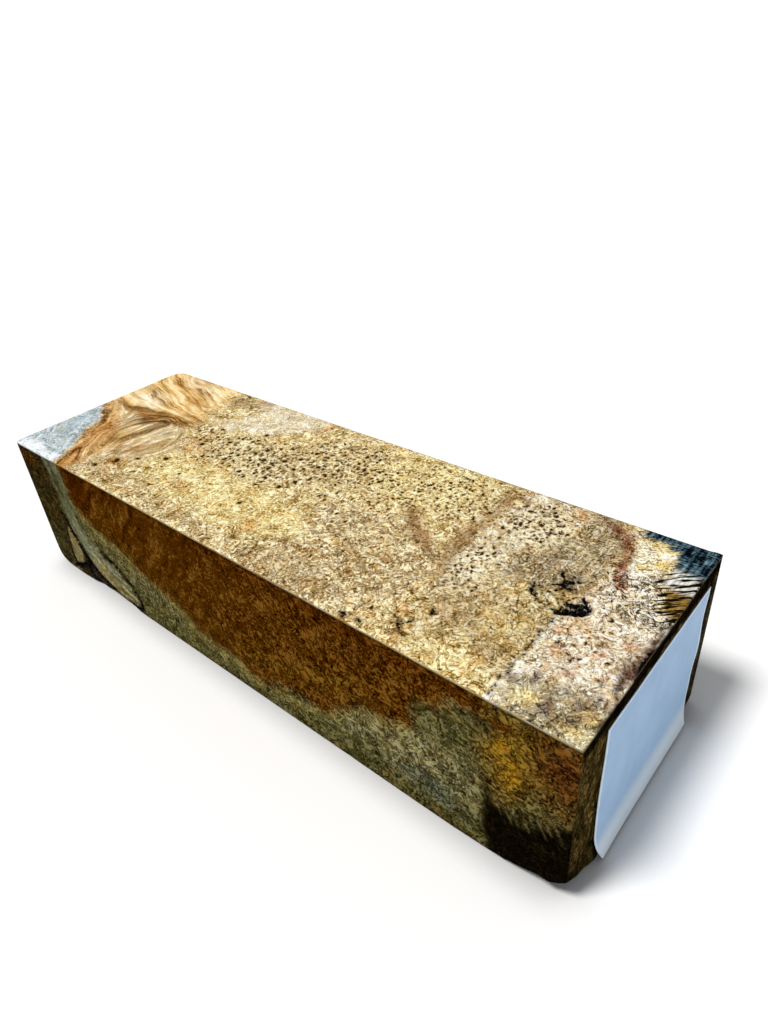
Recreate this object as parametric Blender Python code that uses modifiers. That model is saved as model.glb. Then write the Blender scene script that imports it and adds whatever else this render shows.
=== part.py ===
"""Amboyna burl block: one sawn and sanded billet of burl wood with a blank paper label on one end.

Units are metres, +Z is up. The origin is the middle of the sawn underside, which the block rests on.
+X runs along the block to the labelled end, -Y is the long side with the bark veins.
"""

import math

import bmesh
import bpy
from mathutils import Vector, noise

MM = 0.001

# The sawn block
LENGTH = 150 * MM
WIDTH = 49 * MM
HEIGHT = 36 * MM
BACK_LEAN = 0.9 * MM  # the back face stands out this much more at its foot
ARRIS = 0.25 * MM  # sanded edge round the top and bottom faces
CORNER_ROUNDS = {  # radius of each upright corner, by the signs of its X and Y
    (-1, 1): 3.0 * MM,
    (-1, -1): 0.9 * MM,
    (1, 1): 0.9 * MM,
    (1, -1): 0.35 * MM,
}

# Worn lower corners, where the outside of the burl was just reached: how far each lifts off the
# surface, and how fast that fades along X and along Y
WORN_CORNERS = {
    (1, -1): (4.9 * MM, 7.0 * MM, 4.2 * MM),
    (-1, -1): (4.4 * MM, 1.7 * MM, 6.0 * MM),
    (1, 1): (2.6 * MM, 2.4 * MM, 1.6 * MM),
    (-1, 1): (2.2 * MM, 2.0 * MM, 2.5 * MM),
}
BARK_RIPPLE = 0.35  # share of the lift that the knobbly bark surface adds or takes away
RIPPLE_PITCH = 3.2 * MM
BARK_TUCK = 0.05  # how far the worn rim also draws in under the block, as a share of its lift
BARK_TUCK_HEIGHT = 1.4 * MM

# A low swelling at the foot of the labelled end, under the near corner of the label
SWELL_Y = -15.0 * MM
SWELL_OUT = 0.8 * MM
SWELL_HALF_WIDTH = 1.2 * MM
SWELL_HEIGHT = 1.6 * MM

# Where bark fell away along the lower front edge
SCALLOP_X = -50 * MM
SCALLOP_HALF_LENGTH = 13 * MM
SCALLOP_LIFT = 0.9 * MM
SCALLOP_DEPTH = 3.0 * MM

# Paper label on the +X end
LABEL_WIDTH = 37.6 * MM
LABEL_TOP = 32.6 * MM
LABEL_FOOT = 0.5 * MM
LABEL_CENTRE_Y = 1.6 * MM
LABEL_SLANT = 0.9 * MM  # the near top corner sits this much higher than the far one
LABEL_FOOT_NARROWS = (2.6 * MM, 0.9 * MM)  # how far the curling foot draws in, near side and far side
LABEL_THICKNESS = 0.2 * MM
LABEL_GAP = 0.3 * MM
LABEL_FLARE = 1.2 * MM  # how far the foot stands off the wood
LABEL_CURL_HEIGHT = 7.0 * MM
LABEL_BUCKLE = 0.16 * MM

WOOD_COLOUR = (0.52, 0.34, 0.15, 1.0)
PAPER_COLOUR = (0.80, 0.86, 0.92, 1.0)


def clear_scene():
    for item in list(bpy.data.objects):
        bpy.data.objects.remove(item, do_unlink=True)


def new_collection(name):
    made = bpy.data.collections.new(name)
    bpy.context.scene.collection.children.link(made)
    return made


def material(name, colour, roughness):
    made = bpy.data.materials.new(name)
    made.use_nodes = True
    shader = made.node_tree.nodes["Principled BSDF"]
    shader.inputs["Base Color"].default_value = colour
    shader.inputs["Roughness"].default_value = roughness
    shader.inputs["Metallic"].default_value = 0.0
    made.diffuse_color = colour
    return made


def linked(mesh, name, collection):
    item = bpy.data.objects.new(name, mesh)
    collection.objects.link(item)
    return item


def graded(first, growth, count):
    """Distances from a corner at which the block is sliced, each step longer than the last."""
    step = first
    reach = 0.0
    for _ in range(count):
        reach += step
        yield reach
        step *= growth


def slice_across(bm, axis, position):
    normal = Vector((0, 0, 0))
    normal[axis] = 1
    point = normal * position
    bmesh.ops.bisect_plane(
        bm, geom=bm.verts[:] + bm.edges[:] + bm.faces[:], plane_co=point, plane_no=normal, dist=1e-7
    )


def upright_edge(bm, sign_x, sign_y):
    """The vertical edge of the plain box at one corner."""
    for edge in bm.edges:
        a, b = (v.co for v in edge.verts)
        at_corner = a.x * sign_x > 0 and a.y * sign_y > 0
        if at_corner and abs(a.x - b.x) < 1e-9 and abs(a.y - b.y) < 1e-9:
            return edge
    raise ValueError("the box has no such corner")


def rounded_box(bm):
    """The sawn billet: a box standing on Z = 0 with its upright corners and its arrises eased."""
    bmesh.ops.create_cube(bm, size=1)
    bmesh.ops.scale(bm, vec=(LENGTH, WIDTH, HEIGHT), verts=bm.verts)
    bmesh.ops.translate(bm, vec=(0, 0, HEIGHT / 2), verts=bm.verts)
    for (sign_x, sign_y), radius in CORNER_ROUNDS.items():
        edge = upright_edge(bm, sign_x, sign_y)
        bmesh.ops.bevel(
            bm, geom=[edge], offset=radius, segments=4, profile=0.5, affect="EDGES"
        )
    rims = [e for e in bm.edges if abs(e.verts[0].co.z - e.verts[1].co.z) < 1e-9]
    bmesh.ops.bevel(bm, geom=rims, offset=ARRIS, segments=1, profile=0.5, affect="EDGES")


def slice_for_wear(bm):
    """Adds the rows of points that the worn corners, the scallop and the swelling bend."""
    for distance in graded(1.2 * MM, 1.3, 8):
        slice_across(bm, 0, LENGTH / 2 - distance)
    for distance in graded(0.9 * MM, 1.35, 6):
        slice_across(bm, 0, -LENGTH / 2 + distance)
    for distance in graded(1.0 * MM, 1.3, 6):
        slice_across(bm, 1, -WIDTH / 2 + distance)
    for distance in graded(0.9 * MM, 1.4, 5):
        slice_across(bm, 1, WIDTH / 2 - distance)
    for distance in graded(0.7 * MM, 1.6, 6):
        slice_across(bm, 2, distance)
    scallop_steps = 8
    for step in range(scallop_steps + 1):
        share = 2 * step / scallop_steps - 1
        slice_across(bm, 0, SCALLOP_X + share * SCALLOP_HALF_LENGTH)


def corner_lift(point, sign_x, sign_y):
    """How far a worn lower corner raises the underside at this place."""
    lift, fade_x, fade_y = WORN_CORNERS[(sign_x, sign_y)]
    from_end = max(0.0, LENGTH / 2 - point.x * sign_x)
    from_side = max(0.0, WIDTH / 2 - point.y * sign_y)
    ripple = noise.noise(Vector((point.x, point.y, sign_x + 3 * sign_y)) / RIPPLE_PITCH)
    height = lift * math.exp(-from_end / fade_x - from_side / fade_y)
    height *= 1 + BARK_RIPPLE * ripple
    least = 0.12 * MM  # below this the saw has left the underside flat
    return max(0.0, height - least)


def scallop_lift(point):
    """How far the lost bark raises the underside along the lower front edge."""
    along = (point.x - SCALLOP_X) / SCALLOP_HALF_LENGTH
    inward = (point.y + WIDTH / 2) / SCALLOP_DEPTH
    if abs(along) >= 1 or inward >= 1:
        return 0.0
    bumps = 0.7 + 0.3 * math.cos(5 * math.pi * along)
    return SCALLOP_LIFT * bumps * (1 - along * along) * (1 - inward) ** 2


def wear_down(bm):
    """Lifts the underside at the worn corners, with the top left flat, and leans the back face."""
    for vert in bm.verts:
        point = vert.co
        worn = sum(corner_lift(point, *signs) for signs in WORN_CORNERS)
        lift = scallop_lift(point) + worn
        down = 1 - point.z / HEIGHT
        tuck = BARK_TUCK * worn * math.exp(-point.z / BARK_TUCK_HEIGHT)
        swell = SWELL_OUT * math.exp(-((point.y - SWELL_Y) / SWELL_HALF_WIDTH) ** 2)
        if point.x > LENGTH / 2 - ARRIS * 1.5:
            point.x += swell * math.exp(-((point.z / SWELL_HEIGHT) ** 2))
        if point.y > 0:
            point.y += BACK_LEAN * down * point.y / (WIDTH / 2)
        point.x -= math.copysign(tuck, point.x)
        point.y -= math.copysign(tuck, point.y)
        point.z += lift * down


def groove_cutter(name, points, collection):
    """A cutter for a bark vein: a tube that swells and tapers, centred on the surface it cuts."""
    curve = bpy.data.curves.new(name + "_line", "CURVE")
    curve.dimensions = "3D"
    curve.resolution_u = 3
    curve.bevel_depth = 1.0
    curve.bevel_resolution = 1
    curve.use_fill_caps = True
    spline = curve.splines.new("NURBS")
    spline.points.add(len(points) - 1)
    spline.use_endpoint_u = True
    spline.order_u = 3
    for target, (place, radius) in zip(spline.points, points):
        target.co = (*place, 1.0)
        target.radius = radius
    line = linked(curve, name + "_line", collection)
    bpy.context.view_layer.update()
    graph = bpy.context.evaluated_depsgraph_get()
    mesh = bpy.data.meshes.new_from_object(line.evaluated_get(graph))
    bpy.data.objects.remove(line, do_unlink=True)
    welded = bmesh.new()
    welded.from_mesh(mesh)
    bmesh.ops.remove_doubles(welded, verts=welded.verts, dist=1e-6)
    bmesh.ops.recalc_face_normals(welded, faces=welded.faces)
    welded.to_mesh(mesh)
    welded.free()
    return helper(linked(mesh, name, collection))


def pit_cutter(name, centre, radii, collection):
    """A cutter for a bark pocket: a flattened ball with a ragged rim, half sunk in the surface."""
    bm = bmesh.new()
    bmesh.ops.create_icosphere(bm, subdivisions=2, radius=1)
    for vert in bm.verts:
        swell = 1 + 0.28 * noise.noise(vert.co * 1.7 + Vector(centre) * 200)
        vert.co = Vector(r * c * swell for r, c in zip(radii, vert.co)) + Vector(centre)
    mesh = bpy.data.meshes.new(name)
    bm.to_mesh(mesh)
    bm.free()
    return helper(linked(mesh, name, collection))


def helper(item):
    item.hide_render = True
    item.display_type = "WIRE"
    return item


def front_line(points):
    """Points on the front face, given as (x, z, radius) in millimetres."""
    return [((x * MM, -WIDTH / 2, z * MM), radius * MM) for x, z, radius in points]


def top_line(points):
    """Points on the top face, given as (x, y, radius) in millimetres."""
    return [((x * MM, y * MM, HEIGHT), radius * MM) for x, y, radius in points]


def vein_cutters(collection):
    """Cutters for the bark veins on the front and the bark pockets in the top, where they are deep."""
    main_vein = [
        (-62.8, 19.0, 0.15),
        (-61.2, 14.8, 0.7),
        (-59.4, 11.0, 0.9),
        (-57.6, 7.4, 1.2),
        (-55.0, 4.8, 1.0),
        (-51.0, 3.0, 0.5),
        (-47.5, 2.3, 0.12),
    ]
    petal_vein = [
        (-57.8, 5.6, 0.12),
        (-60.2, 4.0, 0.45),
        (-63.6, 2.9, 0.4),
        (-67.0, 2.3, 0.12),
    ]
    upper_vein = [
        (-48.6, 13.4, 0.1),
        (-44.2, 12.0, 0.5),
        (-40.6, 10.0, 0.55),
        (-37.6, 7.6, 0.45),
        (-36.2, 4.6, 0.5),
        (-36.0, 2.6, 0.12),
    ]
    veins = {"main_vein": main_vein, "petal_vein": petal_vein, "upper_vein": upper_vein}
    cutters = [groove_cutter(n, front_line(points), collection) for n, points in veins.items()]
    pocket_arms = {
        "star_arm_long": [(55.9, 5.2, 0.08), (57.4, 3.2, 0.42), (59.9, 1.7, 0.08)],
        "star_arm_cross": [(57.0, 1.0, 0.08), (58.3, 2.6, 0.35), (59.9, 4.9, 0.08)],
        "small_star_arm": [(40.6, -17.6, 0.07), (41.9, -19.8, 0.34), (43.4, -21.6, 0.07)],
        "small_star_cross": [(43.0, -17.2, 0.07), (41.8, -19.6, 0.3), (40.0, -20.4, 0.07)],
    }
    cutters += [groove_cutter(n, top_line(points), collection) for n, points in pocket_arms.items()]
    pockets = {
        "bark_pocket": ((61.9, -1.9), (1.9, 1.1, 0.7)),
        "bark_pocket_tail": ((60.4, -3.0), (0.9, 0.7, 0.5)),
        "bark_chip": ((54.3, -1.3), (0.5, 1.0, 0.5)),
        "knot_hole": ((-44.6, -15.8), (0.75, 0.6, 0.8)),
        "small_knot_hole": ((-47.0, -19.8), (0.7, 0.35, 0.5)),
    }
    for name, ((x, y), radii) in pockets.items():
        centre = (x * MM, y * MM, HEIGHT)
        cutters.append(pit_cutter(name, centre, [r * MM for r in radii], collection))
    return cutters


def burl_block(parts, cutters):
    bm = bmesh.new()
    rounded_box(bm)
    slice_for_wear(bm)
    wear_down(bm)
    bmesh.ops.recalc_face_normals(bm, faces=bm.faces)
    mesh = bpy.data.meshes.new("burl_block")
    bm.to_mesh(mesh)
    bm.free()
    block = linked(mesh, "burl_block", parts)
    for cutter in vein_cutters(cutters):
        cut = block.modifiers.new(cutter.name, "BOOLEAN")
        cut.operation = "DIFFERENCE"
        cut.object = cutter
    block.data.materials.append(material("burl_wood", WOOD_COLOUR, 0.45))
    return block


def label_stand_off(across, height):
    """How far the label's back is from the wood, for a place across it and up it, each 0 to 1."""
    drop = max(0.0, 1 - height * (LABEL_TOP - LABEL_FOOT) / LABEL_CURL_HEIGHT)
    buckle = math.sin(9 * height + 3 * across) + math.sin(5 * height - 7 * across)
    edge = abs(2 * across - 1) ** 3
    return LABEL_GAP + LABEL_BUCKLE * edge * (1 + 0.5 * buckle) + LABEL_FLARE * drop**1.8


def end_label(parts):
    columns = 12
    rows = 22
    bm = bmesh.new()
    bmesh.ops.create_grid(bm, x_segments=columns, y_segments=rows, size=0.5)
    for vert in bm.verts:
        across = vert.co.x + 0.5
        height = vert.co.y + 0.5
        near, far = LABEL_FOOT_NARROWS
        drawn_in = (near * (1 - across) - far * across) * (1 - height) ** 6
        y = LABEL_CENTRE_Y + (across - 0.5) * LABEL_WIDTH + drawn_in
        top = LABEL_TOP + LABEL_SLANT * (0.5 - across)
        z = LABEL_FOOT + height * (top - LABEL_FOOT)
        vert.co = (LENGTH / 2 + label_stand_off(across, height), y, z)
    bmesh.ops.recalc_face_normals(bm, faces=bm.faces)
    if sum(face.normal.x for face in bm.faces) < 0:
        bmesh.ops.reverse_faces(bm, faces=bm.faces)
    mesh = bpy.data.meshes.new("end_label")
    bm.to_mesh(mesh)
    bm.free()
    label = linked(mesh, "end_label", parts)
    sheet = label.modifiers.new("paper", "SOLIDIFY")
    sheet.thickness = LABEL_THICKNESS
    sheet.offset = 1.0
    label.data.materials.append(material("label_paper", PAPER_COLOUR, 0.6))
    return label


def main():
    clear_scene()
    parts = new_collection("amboyna_burl_block")
    cutters = new_collection("cutters")
    block = burl_block(parts, cutters)
    end_label(parts)
    block.data.shade_smooth()
    block.data.set_sharp_from_angle(angle=math.radians(25))


main()
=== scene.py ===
"""Amboyna burl block: the figured wood and its paper label, with a floor, soft light and a camera.

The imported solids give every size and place. Places on the wood are in millimetres from the middle of its
underside: X runs to the labelled end, Y to the back, Z up. Blender's own values are in metres.
"""

import math

import bmesh
import bpy
import numpy as np
from bpy.props import FloatProperty, FloatVectorProperty, IntProperty, PointerProperty
from mathutils import Matrix, Vector, noise
from mathutils.bvhtree import BVHTree


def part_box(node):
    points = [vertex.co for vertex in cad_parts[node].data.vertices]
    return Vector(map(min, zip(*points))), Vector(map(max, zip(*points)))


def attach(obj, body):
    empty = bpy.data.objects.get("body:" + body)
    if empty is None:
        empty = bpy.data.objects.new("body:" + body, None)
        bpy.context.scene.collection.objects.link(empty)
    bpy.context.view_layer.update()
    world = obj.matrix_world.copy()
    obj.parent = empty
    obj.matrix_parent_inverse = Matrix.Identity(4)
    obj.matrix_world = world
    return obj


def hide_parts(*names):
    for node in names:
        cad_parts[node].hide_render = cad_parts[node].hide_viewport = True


bl_info = {
    "name": "Amboyna burl block",
    "version": (1, 0, 0),
    "blender": (4, 5, 0),
    "location": "3D View > Sidebar > Burl",
    "description": "Models a sawn block of amboyna burl with a blank paper label",
    "category": "Add Mesh",
}

MM = 0.001
# How far the back leans out at its foot, in millimetres
BACK_LEAN = 0.9
# The block's length is first cut into this many parts, and each is then cut again
COARSE_PARTS = 16

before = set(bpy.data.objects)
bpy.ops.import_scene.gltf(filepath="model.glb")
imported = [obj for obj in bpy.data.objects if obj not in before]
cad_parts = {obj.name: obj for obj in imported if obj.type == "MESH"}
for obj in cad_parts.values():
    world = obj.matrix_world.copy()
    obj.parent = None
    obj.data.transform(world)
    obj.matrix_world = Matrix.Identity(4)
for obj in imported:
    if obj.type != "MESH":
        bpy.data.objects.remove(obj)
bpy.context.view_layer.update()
BLOCK_LOW, BLOCK_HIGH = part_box("burl_block")
HALF_LENGTH = -BLOCK_LOW.x / MM
HALF_WIDTH = -BLOCK_LOW.y / MM
HEIGHT = BLOCK_HIGH.z / MM

# A distance in millimetres past the edge of any shape: well outside it, or well inside when negative
FAR = 9.0

# Names of the block's faces, in the order in which they claim a shared edge
TOP, FRONT, LABEL_END, PLAIN_END, BACK, UNDER = range(6)


def linear(colour):
    """A colour written as six hexadecimal digits, as linear light."""
    shares = [int(colour[i : i + 2], 16) / 255 for i in (0, 2, 4)]
    return tuple(s / 12.92 if s <= 0.04045 else ((s + 0.055) / 1.055) ** 2.4 for s in shares)


def opaque(colour):
    """The same colour as a material's colour socket takes it."""
    return (*linear(colour), 1)


def tones(light, middle, dark):
    """The light, middle and dark tone of one kind of wood."""
    return np.array([linear(light), linear(middle), linear(dark)])


CREAM_EYES = tones("FFF6CC", "CEB070", "60460E")
YELLOW_FIGURE = tones("FFFAC8", "E6CE8A", "84621E")
GREY_GRAIN = tones("FAF0C8", "BA9E70", "58431A")
GOLD_CURL = tones("FFE6B4", "DCB46E", "8E602A")
SILVER = tones("F4F8F8", "BCC6C6", "5E6C6C")
WHITE_GLARE = tones("FFFFFF", "F0F4F6", "B4BEC4")
BLUE_SILVER = tones("CEDCE2", "A0B4BC", "5E7278")
ORANGE = tones("F0CC94", "C8985A", "5E360E")
DEEP_ORANGE = tones("D09C50", "A06828", "5C360C")
DARK_BAND = tones("C0924E", "724610", "341A00")
SWIRL_GREY = tones("FAF0D0", "C6AE80", "7A6038")
PALE_PATCH = tones("FFFAE6", "E0D2AE", "96805A")
STAIN = tones("C4B28C", "9A8058", "624824")
BROWN_PATCH = tones("B89468", "8C6A3E", "523418")
PALE_DOTTED = tones("FAF4DE", "CAB894", "6C5634")
OLIVE_TAN = tones("ECE0C0", "B29C72", "4E3C1C")
RED_BROWN = tones("B07048", "84482C", "48200F")
DARK_TEAL = tones("34525E", "101E28", "04080C")
FEATHER = tones("FFFFF4", "F6EECA", "8E7444")
SPECKLED_GREY = tones("F8F2E2", "B4A686", "42382A")
PINK_CREAM = tones("FFF9EA", "D6C4A4", "6E563C")
CORNER_BANDS = tones("FFFCD6", "B2A27C", "3C342E")
PURPLE_GREY = tones("9C8C88", "6A5A58", "362A2C")
# The tones from AMBER to OLIVE_DARK hold painted shade as well as the wood's own colour: they are darker
# than the wood alone, to stand for the shade the front lies in. The back and underside use them too.
AMBER = tones("7A541E", "442400", "1A0600")
AMBER_RED = tones("623006", "381800", "120400")
GOLDEN = tones("82661C", "46300A", "1C0C00")
SAP_GREEN = tones("787248", "464222", "181606")
SAP_PALE = tones("A89E72", "5C5638", "24200E")
SAP_BLUE = tones("646A58", "3A3E30", "141610")
VEIN_GREY = tones("8C9078", "5C5C40", "26240E")
VEIN_CREAM = tones("C6BA8C", "766C44", "3A3218")
OLIVE_DARK = tones("483E1E", "261E0C", "0A0602")
# The black of bark, used also for painted shade along edges and beside the label
BARK_AND_SHADE_BLACK = tones("221A0C", "0A0702", "020100")
END_GRAIN = tones("8A7440", "42361A", "120E04")


# Shapes drawn on a face, each as a distance in millimetres that is negative inside


def polygon(a, b, corners):
    """Distance to a closed outline with straight sides."""
    nearest = np.full(len(a), np.inf)
    inside = np.zeros(len(a), bool)
    for (xa, ya), (xb, yb) in zip(corners, corners[1:] + corners[:1]):
        run, rise = xb - xa, yb - ya
        share = np.clip(((a - xa) * run + (b - ya) * rise) / (run * run + rise * rise), 0, 1)
        nearest = np.minimum(nearest, np.hypot(a - xa - share * run, b - ya - share * rise))
        crosses = (ya > b) != (yb > b)
        if rise:
            inside ^= crosses & (a < xa + (b - ya) / rise * run)
    return np.where(inside, -nearest, nearest)


def stroke(a, b, points):
    """Distance to a line through points (a, b, half width), swelling from one to the next."""
    nearest = np.full(len(a), np.inf)
    for (xa, ya, wa), (xb, yb, wb) in zip(points, points[1:]):
        run, rise = xb - xa, yb - ya
        share = np.clip(((a - xa) * run + (b - ya) * rise) / (run * run + rise * rise), 0, 1)
        reach = np.hypot(a - xa - share * run, b - ya - share * rise)
        nearest = np.minimum(nearest, reach - wa - share * (wb - wa))
    return nearest


def oval(a, b, centre, radii, turn=0):
    """Distance to an ellipse turned by an angle in degrees."""
    c, s = math.cos(math.radians(turn)), math.sin(math.radians(turn))
    x, y = a - centre[0], b - centre[1]
    along, across = (c * x + s * y) / radii[0], (c * y - s * x) / radii[1]
    return (np.hypot(along, across) - 1) * min(radii)


def step(values, start, end):
    """A smooth rise from 0 at start to 1 at end."""
    t = np.clip((values - start) / (end - start), 0, 1)
    return t * t * (3 - 2 * t)


def within(distance, soft):
    """1 inside a shape and 0 outside it, over an edge of this softness."""
    return step(-distance, -soft, soft)


def ripple(points, pitch, seed, octaves=3):
    """Smooth random values of about -1 to 1 over points in millimetres."""
    offset = Vector((seed * 13.7, seed * -7.3, seed * 5.1))
    scale = 1 / pitch
    return np.array(
        [noise.fractal(Vector(p) * scale + offset, 1.0, 2.0, octaves) for p in points.tolist()]
    )


class Wood:
    """The figure of the wood at each point of the block: its tones, its grain and its marks."""

    def __init__(self, points, faces):
        self.points = points
        self.faces = faces
        count = len(points)
        self.tone = np.tile(GREY_GRAIN, (count, 1, 1))
        self.grain = np.stack([points[:, 0], points[:, 1] + points[:, 2], points[:, 2] * 0.3], 1)
        self.curl = np.zeros(count)
        self.fleck = np.full(count, 0.6)
        self.saw = np.zeros(count)
        self.fine = np.ones(count)
        self.bark = np.full(count, FAR)
        self.corner = np.full(count, FAR)
        self.eyes = np.zeros(count)
        self.pinholes = np.zeros(count)
        self.net = np.zeros(count)
        self.depth = np.zeros(count)
        self.drift = np.stack([ripple(points, 7.0, s) for s in (1, 2, 3)], 1)
        self.fray = np.stack([ripple(points, 1.6, s, 2) for s in (4, 5, 6)], 1)


class Face:
    """One face of the block as a flat sheet to draw on, with its own two directions."""

    def __init__(self, wood, face, across, up):
        self.wood = wood
        self.picked = np.flatnonzero(wood.faces == face)
        points = wood.points[self.picked]
        drift, fray = wood.drift[self.picked], wood.fray[self.picked]
        self.a, self.b = points[:, across], points[:, up]
        self.everywhere = np.full(len(self.a), -FAR)
        self.a_broad = self.a + 1.3 * drift[:, across] + 0.7 * fray[:, across]
        self.b_broad = self.b + 1.3 * drift[:, up] + 0.7 * fray[:, up]
        self.a_calm = self.a + 0.9 * drift[:, across]
        self.b_calm = self.b + 0.9 * drift[:, up]
        self.a_fine = self.a + 0.25 * fray[:, across]
        self.b_fine = self.b + 0.25 * fray[:, up]

    def area(self, *corners):
        """A zone with a wandering edge."""
        return polygon(self.a_broad, self.b_broad, corners)

    def patch(self, centre, radii, turn=0):
        return oval(self.a_broad, self.b_broad, centre, radii, turn)

    def band(self, *points):
        return stroke(self.a_broad, self.b_broad, points)

    def line(self, *points):
        """A thin line through points (a, b, half width), with a nearly clean edge."""
        return stroke(self.a_fine, self.b_fine, points)

    def tint(self, distance, wood_tones, soft=0.8, strength=1.0):
        """Brings the wood's three tones to these inside a shape."""
        cover = within(distance, soft)[:, None, None] * strength
        tone = self.wood.tone[self.picked]
        self.wood.tone[self.picked] = tone + cover * (wood_tones - tone)

    def run_grain(self, along, across):
        """Sets which way the fibres run: their places along and across them."""
        self.wood.grain[self.picked, 0] = along
        self.wood.grain[self.picked, 1] = across

    def spot(self, x, y, along, across, turn, *look):
        """An oval of colour: its middle, its half sizes, its turn in degrees, then what tint takes."""
        self.tint(self.patch((x, y), (along, across), turn), *look)

    def set(self, name, distance, value, soft=1.0):
        """Brings one of the wood's qualities to a value inside a shape."""
        quality = getattr(self.wood, name)
        now = quality[self.picked]
        quality[self.picked] = now + within(distance, soft) * (value - now)

    def bark(self, *lines, depth=0.0):
        """Black bark along lines, each a list of points, sunk this far below the surface."""
        slope = 0.6
        for points in lines:
            distance = self.line(*points)
            self.wood.bark[self.picked] = np.minimum(self.wood.bark[self.picked], distance)
            if depth:
                sunk = depth * within(distance + slope / 2, slope)
                self.wood.depth[self.picked] = np.maximum(self.wood.depth[self.picked], sunk)


def figure_top(wood):
    """The sanded top, with most of the burl's eyes."""
    face = Face(wood, TOP, 0, 1)
    face.tint(face.everywhere, CREAM_EYES)
    face.set("pinholes", face.everywhere, 0.12)
    crowd_eyes(face)
    figure_top_middle(face)
    figure_top_left(face)
    figure_top_right(face)
    bark_on_top(face)
    grain_on_top(face)


def figure_top_middle(face):
    """Cream wood full of eyes, a yellow flecked belt in front of it, and greyer grain beyond."""
    yellow = face.area(
        (-38, -12), (-36, -7), (-20, -5.5), (-5, -6), (8, -8), (12, -12), (5, -17), (-10, -18), (-30, -17)
    )
    grey = face.area((8, -1), (22, 2), (37, -1), (40, -10), (36, -22), (28, -28), (2, -28), (9, -14))
    front_belt = face.area((-52, -17), (-30, -18), (-8, -19), (4, -18), (4, -28), (-54, -28))
    face.tint(front_belt, GREY_GRAIN, 3, 0.6)
    face.tint(grey, GREY_GRAIN, 3, 0.9)
    face.tint(yellow, YELLOW_FIGURE, 3)
    face.spot(0.8, -15.9, 2.4, 1.5, 0, tones("E2AE58", "B07C30", "5E3A0C"), 0.9, 0.85)
    face.spot(-24, -14, 4, 1.6, 0, ORANGE, 1.5, 0.5)
    face.spot(-31, -3, 4, 1.8, 0, ORANGE, 1.5, 0.5)
    face.spot(-35, 0, 3, 4, 0, ORANGE, 1.5, 0.6)
    face.spot(20, 16, 13, 9, 0, YELLOW_FIGURE, 4, 0.9)
    brown_streak = face.band((23.5, 5.5, 0.8), (27, 2.5, 1.6), (31, -0.5, 1.6), (34, -3, 0.8))
    face.tint(brown_streak, BROWN_PATCH, 1.2, 0.95)
    column = face.band((36, 23, 1), (37, 13, 1.6), (36.6, 5, 2), (37.6, -2, 1.3), (39, -7, 0.8))
    face.tint(column, BROWN_PATCH, 1.4, 0.7)
    face.spot(18, -21, 7, 3, 0, STAIN, 3, 0.5)


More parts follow.
